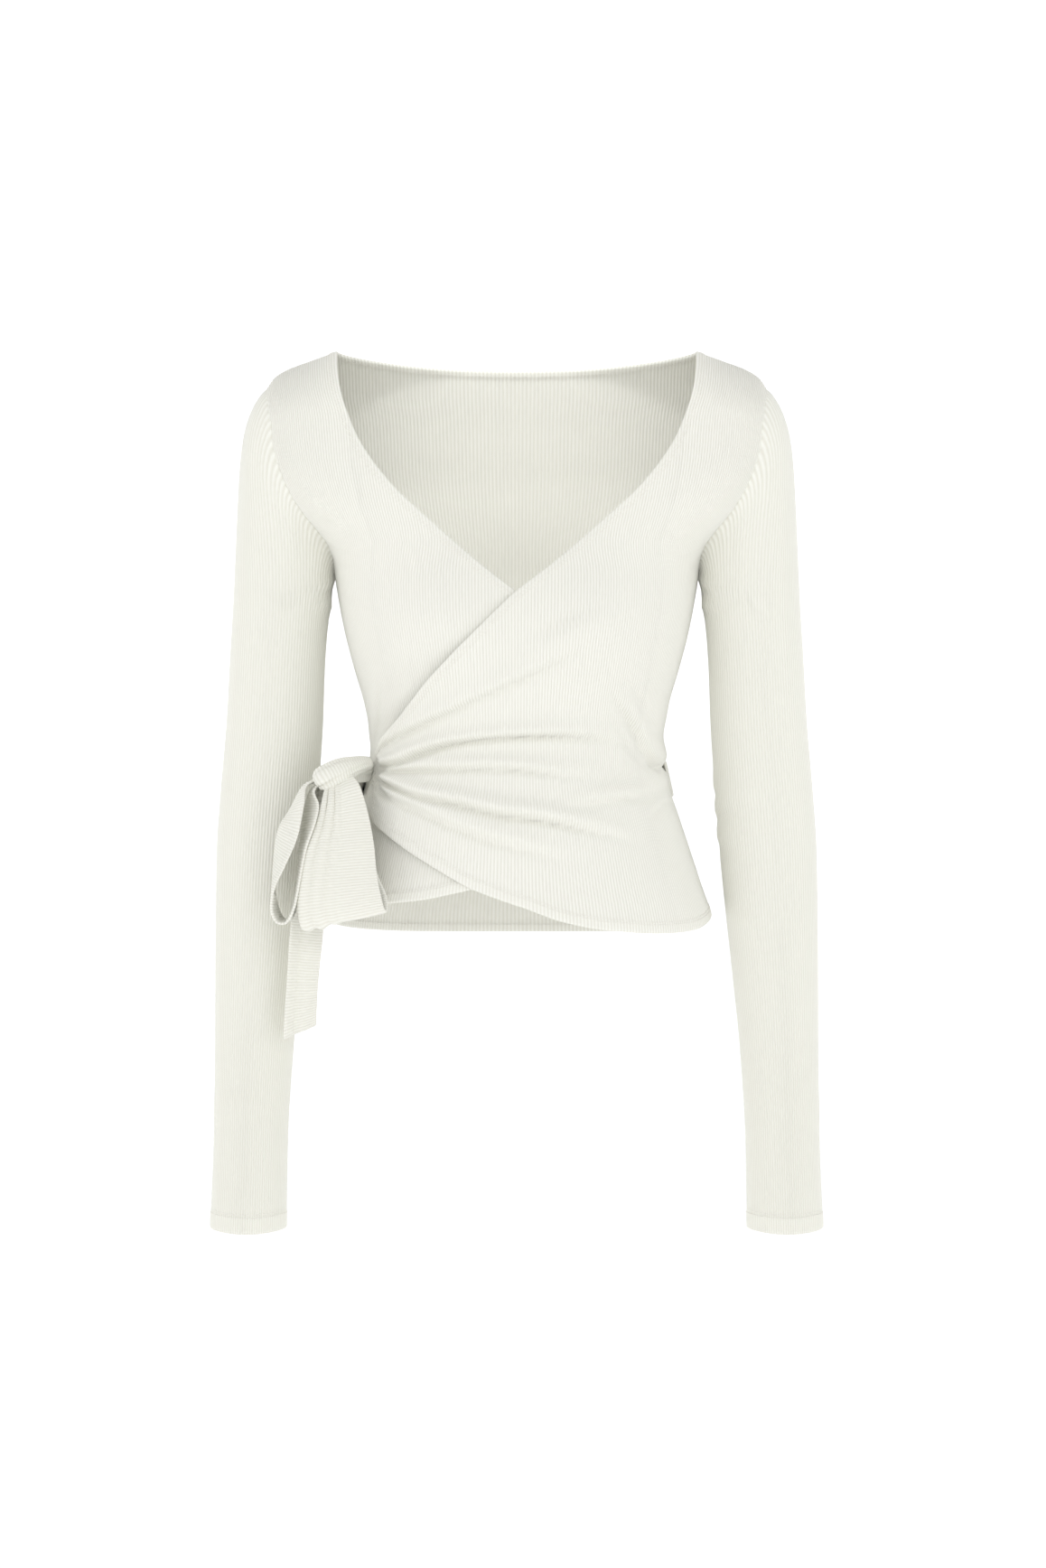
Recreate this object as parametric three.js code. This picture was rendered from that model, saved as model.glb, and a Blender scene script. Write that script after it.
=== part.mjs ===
// A cropped wrap top in cream rib knit, as it hangs when worn: a back, two fronts that cross, two set-in
// sleeves, and a bow at the wearer's right hip. It is hollow, open at the neck, hem and cuffs.
// Millimetres, +Z up. The front faces -Y and the wearer's left is +X. The origin is midway between the two
// points where the neck edge meets the shoulder seams.
import * as THREE from "three";

const { clamp, degToRad, lerp, smoothstep } = THREE.MathUtils;

// ---- Driving sizes -------------------------------------------------------------------------------------
const CLOTH = 1.6; // thickness of the rib knit
const SEAM_GAP = 0.3; // between the edges of two pieces at a seam
const WRAP_STEP = 3.4; // how far the upper front lies above the lower one, face to face
const NECK_HALF = 131; // from the middle to the neck point
const SHOULDER_TIP = { x: 182.5, z: -28 };
const UNDERARM = { x: 132.5, z: -163 };
const HEM_SIDE_Z = -411; // foot of the side seam
const HEM_BACK_DROP = 15.5; // how much lower the hem is at the middle of the back
const BACK_NECK_DROP = 8.6; // how far the back neck edge dips at its middle
const SHOULDER_ROLL = 40; // height over which the cloth turns over the shoulder
const SEAM_Y = 4; // the shoulder seam lies just behind the middle plane
const CUFF_Z = -639;
const TIE_Z = -306; // height of the gathered corners of the fronts
const TIE_X = -102; // how far out those corners lie, on the wearer's right
const ARM_X = 170; // the middle of a sleeve
const COLOUR = { cream: 0xefeee6, sleeve: 0xefefe5, tie: 0xece9dc };

// Steps along the pieces
const ARMHOLE_STEPS = 8;
const SHOULDER_STEPS = 4;
const SIDE_STEPS = [6, 5, 4]; // underarm to waist, waist to hip, hip to hem
const FRONT_COLUMNS = 16;
const BACK_NECK_STEPS = 10;
const NECK_ROUNDS = 6; // rounds that settle where a column meets the neck edge

// ---- Curves --------------------------------------------------------------------------------------------
// A smooth function through [place, value] pairs that never overshoots them.
function profile(pairs) {
  const sorted = [...pairs].sort((a, b) => a[0] - b[0]);
  const xs = sorted.map((p) => p[0]);
  const ys = sorted.map((p) => p[1]);
  const rise = xs.slice(1).map((x, i) => (ys[i + 1] - ys[i]) / (x - xs[i]));
  const slope = xs.map((x, i) => {
    if (i === 0) return rise[0];
    if (i === xs.length - 1) return rise[i - 1];
    const [before, after] = [rise[i - 1], rise[i]];
    return before * after <= 0 ? 0 : (2 * before * after) / (before + after);
  });
  return (x) => {
    const at = clamp(x, xs[0], xs[xs.length - 1]);
    let i = 0;
    while (i < xs.length - 2 && at > xs[i + 1]) i += 1;
    const span = xs[i + 1] - xs[i];
    const f = (at - xs[i]) / span;
    return hermite(ys[i], ys[i + 1], slope[i] * span, slope[i + 1] * span, f);
  };
}

function hermite(a, b, slopeA, slopeB, f) {
  const f2 = f * f;
  const f3 = f2 * f;
  const ends = a * (2 * f3 - 3 * f2 + 1) + b * (3 * f2 - 2 * f3);
  return ends + slopeA * (f3 - 2 * f2 + f) + slopeB * (f3 - f2);
}

// A smooth path through points of any dimension, each reached at its own place.
function spline(places, points) {
  const last = points.length - 1;
  const tangent = points.map((p, i) => {
    const before = Math.max(i - 1, 0);
    const after = Math.min(i + 1, last);
    return p.map((_, d) => (points[after][d] - points[before][d]) / (places[after] - places[before]));
  });
  return (place) => {
    let i = 0;
    while (i < last - 1 && place > places[i + 1]) i += 1;
    const span = places[i + 1] - places[i];
    const f = (place - places[i]) / span;
    return points[i].map((a, d) =>
      hermite(a, points[i + 1][d], tangent[i][d] * span, tangent[i + 1][d] * span, f),
    );
  };
}

// The same path measured along its own length, from 0 to 1.
function pathOf(points, scale = points[0].map(() => 1)) {
  const places = [0];
  for (let i = 1; i < points.length; i += 1) {
    const steps = points[i].map((value, d) => (value - points[i - 1][d]) * scale[d]);
    places.push(places[i - 1] + Math.hypot(...steps));
  }
  const total = places[places.length - 1];
  return spline(places.map((place) => place / total), points);
}

const fractions = (steps) => Array.from({ length: steps + 1 }, (_, i) => i / steps);
const quarterTurn = (w) => Math.sqrt(1 - (1 - clamp(w, 0, 1)) ** 2);

// ---- The worn form: a general figure --------------------------------------------------------------------
// Half width: armhole edge above the underarm, side seam below it.
const halfWidth = profile([
  [SHOULDER_TIP.z, SHOULDER_TIP.x], [-45, 178.5], [-71, 176], [-92, 170], [-110, 161.5],
  [-121, 154], [-134, 143], [-144, 136], [-155, 132.8], [UNDERARM.z, UNDERARM.x], [-179, 130],
  [-205, 125], [-232, 118], [-258, 110.5], [-284, 106], [-300, 107], [-318, 110.5], [-337, 117],
  [-364, 126], [-390, 134.5], [HEM_SIDE_Z, 141.5], [-427, 144],
]);
// Depth in front of and behind the middle plane, at the middle of the body.
const frontDepth = profile([
  [10, 30], [0, 34], [-40, 52], [-80, 68], [-120, 80], [-160, 89], [-205, 93], [-245, 87], [-290, 77],
  [-340, 81], [-385, 88], [-427, 93],
]);
const backDepth = profile([
  [10, 54], [0, 57], [-20, 66], [-60, 80], [-100, 87], [-150, 88], [-200, 82], [-250, 70], [-290, 63],
  [-340, 71], [-385, 81], [-427, 89],
]);
// Depth of the panel's edge at the armhole. It closes to nothing at the underarm.
const edgeFront = profile([
  [-70, 46], [-92, 47], [-110, 44], [-125, 36], [-140, 23], [-152, 11], [UNDERARM.z, 0],
]);
const edgeBack = profile([
  [-70, 50], [-92, 52], [-110, 49], [-125, 40], [-140, 26], [-152, 13], [UNDERARM.z, 0],
]);
// How far round its section the panel reaches: a quarter turn where it meets the side seam.
const reach = profile([[-70, 62], [-110, 68], [-140, 80], [UNDERARM.z, 90]]);
// The shoulder line, carried on inwards as a neck would rise.
const shoulderLine = profile([
  [NECK_HALF, 0], [150, -7], [166, -13], [176, -19], [SHOULDER_TIP.x, SHOULDER_TIP.z],
]);
function rollTop(x) {
  const aside = Math.abs(x);
  return aside < NECK_HALF ? SHOULDER_ROLL * (1 - aside / NECK_HALF) : shoulderLine(aside);
}

// Soft cups eased into the fronts: height over the plain section, full out to x, a little less in the middle.
const CUP = { height: 13, x: 50, z: -196, fade: [40, 50], dip: 0.35, dipWidth: 30 };
const bell = (distance, width) => Math.exp(-((distance / width) ** 2));
function cup(x, z) {
  const aside = Math.max(0, Math.abs(x) - CUP.x);
  const across = bell(aside, CUP.fade[0]) * (1 - CUP.dip * bell(x, CUP.dipWidth));
  return CUP.height * across * bell(z - CUP.z, CUP.fade[1]);
}

const turnOf = (z) => degToRad(reach(z));
const acrossOf = (x, z) => {
  const turn = turnOf(z);
  const ratio = clamp((x / halfWidth(z)) * Math.sin(turn), -1, 1);
  return Math.asin(ratio) / turn;
};

// A point of the form: t runs from -1 to 1 across the panel, facing is -1 at the front and 1 at the back.
function onForm(t, z, facing) {
  const turn = turnOf(z);
  const x = (halfWidth(z) * Math.sin(t * turn)) / Math.sin(turn);
  const edge = facing < 0 ? edgeFront(z) : edgeBack(z);
  const middle = facing < 0 ? frontDepth(z) : backDepth(z);
  const bow = (Math.cos(t * turn) - Math.cos(turn)) / (1 - Math.cos(turn));
  const soft = facing < 0 ? cup(x, z) * Math.min(1, 3 * bow) : 0;
  const full = facing * (edge + (middle - edge) * bow + soft);
  const roll = quarterTurn((rollTop(x) - z) / SHOULDER_ROLL);
  const y = lerp(SEAM_Y, full, roll);
  return new THREE.Vector3(x, y + (facing * SEAM_GAP) / 2, z);
}

// ---- Cloth walls ----------------------------------------------------------------------------------------
// The normals of a grid of points, turned to face away from the given point of each place.
function normalsOf(grid, insideOf, closed) {
  const rows = grid.length;
  const columns = grid[0].length;
  const row = (i) => clamp(i, 0, rows - 1);
  const column = (j) => (closed ? (j + columns) % columns : clamp(j, 0, columns - 1));
  const normals = grid.map((line, i) =>
    line.map((_, j) => {
      const down = grid[row(i + 1)][j].clone().sub(grid[row(i - 1)][j]);
      const along = grid[i][column(j + 1)].clone().sub(grid[i][column(j - 1)]);
      return down.cross(along).normalize();
    }),
  );
  let facing = 0;
  grid.forEach((line, i) => line.forEach((p, j) => {
    facing += normals[i][j].dot(p.clone().sub(insideOf(p)));
  }));
  if (facing < 0) normals.forEach((line) => line.forEach((n) => n.negate()));
  return normals;
}

// A closed wall: its outer face stands `out` beyond the grid and its inner face CLOTH (or `thick`) below that.
// `sewn` may turn a normal at a seam, so that both pieces there are cut along the same slant.
function wall(grid, { insideOf, closed = false, out = () => 0, thick = CLOTH, sewn = (n) => n }) {
  const rows = grid.length;
  const columns = grid[0].length;
  const normals = normalsOf(grid, insideOf, closed).map((line, i) => line.map((n, j) => sewn(n, i, j)));
  const points = [];
  for (const depth of [0, -thick]) {
    grid.forEach((line, i) => line.forEach((p, j) => {
      const height = out(p, i, j) + depth;
      points.push(p.clone().addScaledVector(normals[i][j], height));
    }));
  }
  const at = (layer, i, j) => layer * rows * columns + i * columns + (j % columns);
  const faces = [];
  const quad = (a, b, c, d) => faces.push([a, b, c], [a, c, d]);
  const spans = closed ? columns : columns - 1;
  for (let i = 0; i < rows - 1; i += 1) {
    for (let j = 0; j < spans; j += 1) {
      quad(at(0, i, j), at(0, i + 1, j), at(0, i + 1, j + 1), at(0, i, j + 1));
      quad(at(1, i, j), at(1, i, j + 1), at(1, i + 1, j + 1), at(1, i + 1, j));
    }
  }
  for (let j = 0; j < spans; j += 1) {
    quad(at(0, 0, j), at(0, 0, j + 1), at(1, 0, j + 1), at(1, 0, j));
    quad(at(0, rows - 1, j), at(1, rows - 1, j), at(1, rows - 1, j + 1), at(0, rows - 1, j + 1));
  }
  if (!closed) {
    for (let i = 0; i < rows - 1; i += 1) {
      quad(at(0, i, 0), at(1, i, 0), at(1, i + 1, 0), at(0, i + 1, 0));
      const end = columns - 1;
      quad(at(0, i, end), at(0, i + 1, end), at(1, i + 1, end), at(1, i, end));
    }
  }
  return solidFrom(points, faces);
}

// An indexed geometry, with its faces turned outwards whichever way they were listed.
function solidFrom(points, faces) {
  const share = ([a, b, c]) => points[a].dot(points[b].clone().cross(points[c]));
  const volume = faces.reduce((sum, face) => sum + share(face), 0);
  const listed = volume < 0 ? faces.map(([a, b, c]) => [a, c, b]) : faces;
  const geometry = new THREE.BufferGeometry().setFromPoints(points);
  geometry.setIndex(listed.flat());
  geometry.computeVertexNormals();
  return geometry;
}

// ---- Heights of the armhole and the side seam, shared by every piece that is sewn there -----------------
const armholeHeights = fractions(ARMHOLE_STEPS).map((f) =>
  lerp(SHOULDER_TIP.z, UNDERARM.z, (1 - Math.cos(Math.PI * f)) / 2),
);
const WAIST_Z = -297;
const HIP_Z = -364;
const sideHeights = [UNDERARM.z, WAIST_Z, HIP_Z, HEM_SIDE_Z].flatMap((z, k, all) =>
  k === all.length - 1 ? [] : fractions(SIDE_STEPS[k]).slice(1).map((f) => lerp(z, all[k + 1], f)),
);

// Normals at the seams. Along the shoulder and the side they lie in the seam's own plane. Round the armhole the
// panel and the sleeve share one that looks away from the middle of the armhole, save under the arm.
const inSeamPlane = (n) => n.setY(0).normalize();
const ARMHOLE_MIDDLE = new THREE.Vector3(118, 0, -98);
function atArmhole(n, k, facing, side) {
  const spot = (i) => onForm(1, armholeHeights[clamp(i, 0, ARMHOLE_STEPS)], facing);
  const along = spot(k + 1).sub(spot(k - 1)).normalize();
  const away = spot(k).sub(ARMHOLE_MIDDLE);
  away.addScaledVector(along, -away.dot(along)).normalize();
  away.x *= side;
  const share = clamp((6 - k) / 2, 0, 1);
  return n.lerp(away, share).normalize();
}
function sewnPanelEdge(n, step, facing, side) {
  if (step <= 0 || step >= ARMHOLE_STEPS) return inSeamPlane(n);
  return atArmhole(n, step, facing, side);
}

// ---- Back -----------------------------------------------------------------------------------------------
const neckPointAcross = acrossOf(NECK_HALF, 0);
const backColumns = [
  ...fractions(SHOULDER_STEPS).slice(0, -1).map((f) => lerp(-1, -neckPointAcross, f)),
  ...fractions(BACK_NECK_STEPS).map((f) => lerp(-neckPointAcross, neckPointAcross, f)),
  ...fractions(SHOULDER_STEPS).slice(1).map((f) => lerp(neckPointAcross, 1, f)),
];
const backNeck = (x) => -BACK_NECK_DROP * (1 - (Math.abs(x) / NECK_HALF) ** 2.2);

function backTop(t) {
  let z = 0;
  for (let round = 0; round < NECK_ROUNDS; round += 1) {
    const x = Math.abs(onForm(t, z, 1).x);
    z = x < NECK_HALF ? backNeck(x) : shoulderLine(x);
  }
  return z;
}

function backGrid() {
  const heights = [...armholeHeights, ...sideHeights];
  return heights.map((height) => {
    const f = (height - SHOULDER_TIP.z) / (HEM_SIDE_Z - SHOULDER_TIP.z);
    return backColumns.map((t) => {
      const top = Math.abs(t) === 1 ? SHOULDER_TIP.z : backTop(t);
      const hem = HEM_SIDE_Z - HEM_BACK_DROP * (1 - Math.abs(t) ** 3);
      return onForm(t, lerp(top, hem, f), 1);
    });
  });
}

function sewnBack(n, i, j) {
  const last = backColumns.length - 1;
  if (j === 0 || j === last) return sewnPanelEdge(n, i, 1, Math.sign(backColumns[j]));
  const onShoulder = j <= SHOULDER_STEPS || j >= last - SHOULDER_STEPS;
  return i === 0 && onShoulder ? inSeamPlane(n) : n;
}

// ---- Fronts ---------------------------------------------------------------------------------------------
// Lines of pull that fan out from the gathered corner, as [x, z] seen from the front, on the panel whose side
// seam is at +X. The first is the wrap edge up to the neck point and the last is the hem.
const wrapEdge = [
  [-101.5, TIE_Z + 6], [-97, -293], [-84, -273], [-67, -248.5], [-50, -227.5], [-25.5, -203.4], [-2.4, -181.6],
  [25.2, -160], [59.4, -129.5], [90, -100.5], [112.3, -70], [125, -39], [129.3, -18], [NECK_HALF, 0],
];
const pullToShoulder = [
  [-101.7, TIE_Z + 3.6], [-72, -264], [-32, -224], [15, -185], [60, -151], [105, -118], [145, -86],
  [171, -54], [SHOULDER_TIP.x, SHOULDER_TIP.z],
];
const pullToUnderarm = [
  [-101.9, TIE_Z + 1.3], [-83, -282], [-55, -262], [-20, -241], [14, -223], [49, -205], [90, -186],
  [UNDERARM.x, UNDERARM.z],
];
const pullToWaist = [
  [-102.1, TIE_Z - 1], [-94, -306], [-81, -303], [-65, -295.5], [-48, -288.5], [-27, -284], [1, -281.5],
  [32, -281.3], [58, -284], [84, -289.5], [98, -294], [halfWidth(WAIST_Z), WAIST_Z],
];
const pullToHip = [
  [-102.3, TIE_Z - 3.4], [-95, -315], [-84, -320], [-67, -326.5], [-37, -333], [-11.5, -339], [14, -343],
  [40, -348], [63, -353], [84, -357.5], [106, -361], [halfWidth(HIP_Z), HIP_Z],
];
const overHem = [
  [-102.5, TIE_Z - 6], [-102.5, -327], [-98.5, -344], [-87, -356], [-71, -368], [-54, -378.6], [-34, -390],
  [-13, -398.3], [8, -405.4], [28.4, -413], [49, -418], [66.4, -420.5], [101, -423], [127.8, -421.5],
  [137.7, -417.5], [halfWidth(HEM_SIDE_Z), HEM_SIDE_Z],
];
const underHem = [
  [-102.5, TIE_Z - 6], [-101, -325], [-92, -341], [-70, -356], [-40, -371], [-5, -382], [34, -391.5],
  [47.5, -394.6], [67, -398.6], [91, -401.3], [120, -405], [137, -408.5],
  [halfWidth(HEM_SIDE_Z), HEM_SIDE_Z],
];
// Creases pressed into the upper front, along [x, z], deepest near the tie.
const aboveTie = [[-81, -283], [-55, -267.7], [-20, -250.6], [14, -235.3], [62, -215.8]];
const levelWithTie = [[-94, -309], [-55, -307], [-3, -306.5], [32, -311], [67, -311]];
const belowTie = [[-101, -316], [-86, -328], [-67, -337], [-46, -347], [-20, -357], [32, -369.5]];
const creases = [
  { line: aboveTie, deep: 1.3, wide: 6, far: 190 },
  { line: pullToWaist.slice(0, 10), deep: 2.7, wide: 5, far: 205 },
  { line: levelWithTie, deep: 1.3, wide: 5, far: 180 },
  { line: pullToHip.slice(0, 10), deep: 2.5, wide: 5, far: 205 },
  { line: belowTie, deep: 1.8, wide: 6, far: 170 },
];
const SWELL = 2.9; // how high the gathered cloth stands round the creases
const GATHER_START = [4, 30]; // distances from the tie over which the swell rises
const GATHER_END = 200; // distance at which it has died away
const GATHER_HELD = 0.35; // share of a reach over which it keeps its full depth
const GATHER_LOW = [-395, -345]; // heights over which it rises from the hem
const GATHER_HIGH = [-240, -200]; // heights over which it fades towards the chest

// A guide line turned into [across, height] on the form, measured along its length.
const ACROSS_LENGTH = 150;
const guide = (points) => {
  const places = points.map(([x, z], i) => {
    const onSeam = i === points.length - 1 && x !== NECK_HALF;
    return [onSeam ? 1 : acrossOf(x, z), z];
  });
  return pathOf(places, [ACROSS_LENGTH, 1]);
};

const CROWDING = 0.75; // how much closer the columns stand near the armhole, in the rows over the shoulder
function frontGrid(side, hem) {
  const guides = [wrapEdge, pullToShoulder, pullToUnderarm, pullToWaist, pullToHip, hem].map(guide);
  const stepsBetween = [SHOULDER_STEPS, ARMHOLE_STEPS, ...SIDE_STEPS];
  const places = stepsBetween.reduce((list, steps) => [...list, list[list.length - 1] + steps], [0]);
  const total = places[places.length - 1];
  const edgeHeights = [...armholeHeights, ...sideHeights];
  return Array.from({ length: total + 1 }, (_, row) => {
    const overShoulder = 1 - smoothstep(row, SHOULDER_STEPS, SHOULDER_STEPS + ARMHOLE_STEPS);
    return fractions(FRONT_COLUMNS).map((u) => {
      const eased = Math.sin((Math.PI / 2) * u);
      const f = lerp(u, eased, CROWDING * overShoulder);
      const acrossRows = spline(places, guides.map((line) => line(f)));
      const endOfRows = spline(places, guides.map((line) => line(1)));
      const [t, z] = acrossRows(row);
      const [endT, endZ] = endOfRows(row);
      // The row's last point is pulled onto the shoulder seam, the armhole or the side seam.
      const wantT = row < SHOULDER_STEPS ? lerp(neckPointAcross, 1, row / SHOULDER_STEPS) : 1;
      const wantZ = row < SHOULDER_STEPS ? backTop(wantT) : edgeHeights[row - SHOULDER_STEPS];
      const pull = f ** 4;
      const point = onForm(t + (wantT - endT) * pull, z + (wantZ - endZ) * pull, -1);
      point.x *= side;
      return point;
    });
  });
}

function nearness(points, x, z) {
  let best = Infinity;
  for (let i = 1; i < points.length; i += 1) {
    const [ax, az] = points[i - 1];
    const [bx, bz] = points[i];
    const length2 = (bx - ax) ** 2 + (bz - az) ** 2;
    const f = clamp(((x - ax) * (bx - ax) + (z - az) * (bz - az)) / length2, 0, 1);
    best = Math.min(best, Math.hypot(x - lerp(ax, bx, f), z - lerp(az, bz, f)));
  }
  return best;
}

function gathers(x, z) {
  const fromTie = Math.hypot(x - TIE_X, z - TIE_Z);
  const fade = (far) => 1 - smoothstep(fromTie, far * GATHER_HELD, far);
  const fan = smoothstep(fromTie, ...GATHER_START) * fade(GATHER_END);
  const press = ({ line, deep, wide, far }) => deep * fade(far) * bell(nearness(line, x, z), wide);
  const depths = creases.map(press);
  const pressed = depths.reduce((sum, depth) => sum + depth, 0);
  const below = smoothstep(z, ...GATHER_LOW);
  const above = 1 - smoothstep(z, ...GATHER_HIGH);
  return fan * Math.max(0, SWELL * below * above - pressed);
}

const sewnFront = (side) => (n, row, column) =>
  column === FRONT_COLUMNS ? sewnPanelEdge(n, row - SHOULDER_STEPS, -1, side) : n;
const WRAP_PASSES = [-20, 100]; // the lower front passes from behind to its own side between these
const wrapShare = (x) => smoothstep(x, ...WRAP_PASSES);
const overLift = (p) => WRAP_STEP * (1 - wrapShare(p.x)) + gathers(p.x, p.z);
const underLift = (p) => -WRAP_STEP * wrapShare(p.x);

// ---- Sleeves --------------------------------------------------------------------------------------------
const sleeveOuter = profile([
  [-148, 205], [-179, 206.3], [-271, 211.8], [-337, 217.3], [-377, 219.3], [-470, 219.7], [-535, 219.7],
  [-601, 221], [CUFF_Z, 222.6],
]);
const sleeveInner = profile([
  [-179, 136], [-205, 139], [-245, 141.3], [-284, 143], [-324, 146], [-364, 149], [-403, 152.7],
  [-430, 155.8], [-469, 159.5], [-509, 163.5], [-535, 166], [-575, 167.4], [CUFF_Z, 168.3],
]);
const sleeveMiddleY = profile([[-28, 2], [-150, 3], [-330, 8], [-450, 2], [CUFF_Z, -10]]);
const sleeveDepth = profile([
  [-28, 50], [-110, 42], [-180, 38], [-330, 36], [-450, 33], [-535, 30], [CUFF_Z, 29],
]);
// The cap's rings swing round from the armhole to the level: [top x, top z, low x, low z, share of plain ring].
const capRings = [
  [SHOULDER_TIP.x, SHOULDER_TIP.z, UNDERARM.x, UNDERARM.z, 0], [188, -34, 133.6, -164.4, 0.12],
  [194.5, -46.5, 134.2, -167, 0.3], [199, -62, 134.8, -170.5, 0.5], [201.8, -85, 135.4, -175, 0.7],
  [203.5, -115, 136.4, -182, 0.85], [205, -148, 137.7, -193, 0.95], [206.5, -182, 139.3, -207, 1],
  [209, -222, 141, -232, 1],
];
const armRingHeights = [-272, -322, -365, -408, -455, -510, -575, CUFF_Z];
const CUFF_DIP = 2.5; // the cuff's edge is lower at its middle, front and back

function sleeveGrid(side) {
  const around = 2 * ARMHOLE_STEPS;
  const armRings = armRingHeights.map((z) => [sleeveOuter(z), z, sleeveInner(z), z, 1]);
  const plainRing = ([topX, topZ, lowX, lowZ], angle) => {
    const swing = (1 + Math.cos(angle)) / 2;
    const middle = (topZ + lowZ) / 2;
    const y = sleeveMiddleY(middle) - sleeveDepth(middle) * Math.sin(angle);
    return new THREE.Vector3(lerp(lowX, topX, swing), y, lerp(lowZ, topZ, swing));
  };
  return [...capRings, ...armRings].map((ring) =>
    Array.from({ length: around }, (_, j) => {
      const angle = (2 * Math.PI * j) / around;
      const z = armholeHeights[j <= ARMHOLE_STEPS ? j : around - j];
      const sewn = onForm(1, z, j > 0 && j < ARMHOLE_STEPS ? -1 : 1);
      if (j % ARMHOLE_STEPS === 0) sewn.y -= SEAM_GAP / 2;
      const point = plainRing(ring, angle);
      const drift = sewn.sub(plainRing(capRings[0], angle)).multiplyScalar(1 - ring[4]);
      point.add(drift);
      point.x += 2 * SEAM_GAP;
      if (ring[1] === CUFF_Z) point.z -= CUFF_DIP * Math.sin(angle) ** 2;
      point.x *= side;
      return point;
    }),
  );
}

function sewnSleeve(side) {
  return (n, ring, j) => {
    if (ring > 0) return n;
    const k = j <= ARMHOLE_STEPS ? j : 2 * ARMHOLE_STEPS - j;
    if (k === 0) return inSeamPlane(atArmhole(n, 0, 1, side));
    return atArmhole(n, k, j < ARMHOLE_STEPS ? -1 : 1, side);
  };
}

// ---- Ties and bow ---------------------------------------------------------------------------------------
const FOLD_AT_START = 0.1; // the folds are pressed flat in the knot, and open along the strip
// A strip of cloth through stations, each the [x, y, z] of its left and right edge. `fold` lifts the strip
// forward across its width, as a list of [share of width, lift].
function strip(stations, { steps, across, fold = [[0, 0], [1, 0]], thick = CLOTH }) {
  const along = pathOf(stations.map(([left, right]) => [...left, ...right]));
  const lift = profile(fold);
  const grid = fractions(steps).map((f) => {
    const edges = along(f);
    const left = new THREE.Vector3(...edges.slice(0, 3));
    const right = new THREE.Vector3(...edges.slice(3));
    const full = Math.sin(Math.PI * lerp(FOLD_AT_START, 1, f));
    return fractions(across).map((w) => {
      const point = left.clone().lerp(right, w);
      point.y -= lift(w) * full;
      return point;
    });
  });
  return wall(grid, { insideOf: (p) => new THREE.Vector3(p.x, p.y + 1, p.z), out: () => thick / 2, thick });
}

// The strap that leaves the left side seam and lies on the back of the waist, then turns forward to the knot.
const STRAP_WIDTH = 26;
const STRAP_Z = -312;
const STRAP_CLEAR = 1.2;
const STRAP_START = 0.97; // where it starts across the back, just short of the left side seam
const STRAP_STEPS = { along: 22, across: 3 };
// Past the right side seam: x, y and the share of its width that it keeps as it narrows into the knot.
const STRAP_FORWARD = [[-113.5, -14, 1], [-117, -26, 0.8], [-121, -38, 0.5]];
function backStrapGrid() {
  const onBack = fractions(STRAP_STEPS.along).map((f) => lerp(STRAP_START, -1, f));
  const rows = onBack.map((t) =>
    fractions(STRAP_STEPS.across).map((w) => {
      const z = STRAP_Z + STRAP_WIDTH * (0.5 - w);
      const point = onForm(t, z, 1);
      const away = new THREE.Vector3(point.x / halfWidth(z), Math.max(0, point.y / backDepth(z)), 0);
      return point.addScaledVector(away.normalize(), STRAP_CLEAR + CLOTH);
    }),
  );
  STRAP_FORWARD.forEach(([x, y, share]) => {
    const z = (w) => STRAP_Z + STRAP_WIDTH * share * (0.5 - w) + 1;
    rows.push(fractions(STRAP_STEPS.across).map((w) => new THREE.Vector3(x, y, z(w))));
  });
  return rows;
}

// The short strap from the gathered corner of the upper front to the knot.
const overStrap = [
  [[-106.4, -31, -300.6], [-107, -29, -312.4]],
  [[-108.6, -38, -299.8], [-109.6, -36, -314]],
  [[-112, -45, -299.8], [-114, -43, -315]],
  [[-118, -52, -301], [-119.5, -51, -315]],
];
// Left loop, seen nearly edge on: down its outer layer, round the foot and up its inner layer.
// Each station is the front edge, then the back edge.
const leftLoop = [
  [[-149.5, -66, -314], [-152, -52, -316]],
  [[-152, -76, -330], [-163, -52, -335]],
  [[-156.5, -82, -354], [-171, -52, -348]],
  [[-165.5, -84, -375], [-174.2, -50, -369]],
  [[-173, -84, -391], [-174.6, -50, -391]],
  [[-174.8, -83, -406], [-171, -50, -407]],
  [[-171, -82, -414.6], [-166, -50, -414]],
  [[-164.4, -82, -415], [-161, -50, -411]],
  [[-158.6, -82, -404], [-158.5, -50, -400]],
  [[-154, -82, -382], [-157, -50, -380]],
  [[-150, -81, -362], [-156.5, -50, -362]],
  [[-143.5, -79, -343], [-155, -51, -345]],
  [[-141.5, -74, -331], [-152, -52, -331]],
  [[-145.3, -66, -321], [-149, -53, -321]],
];
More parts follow.
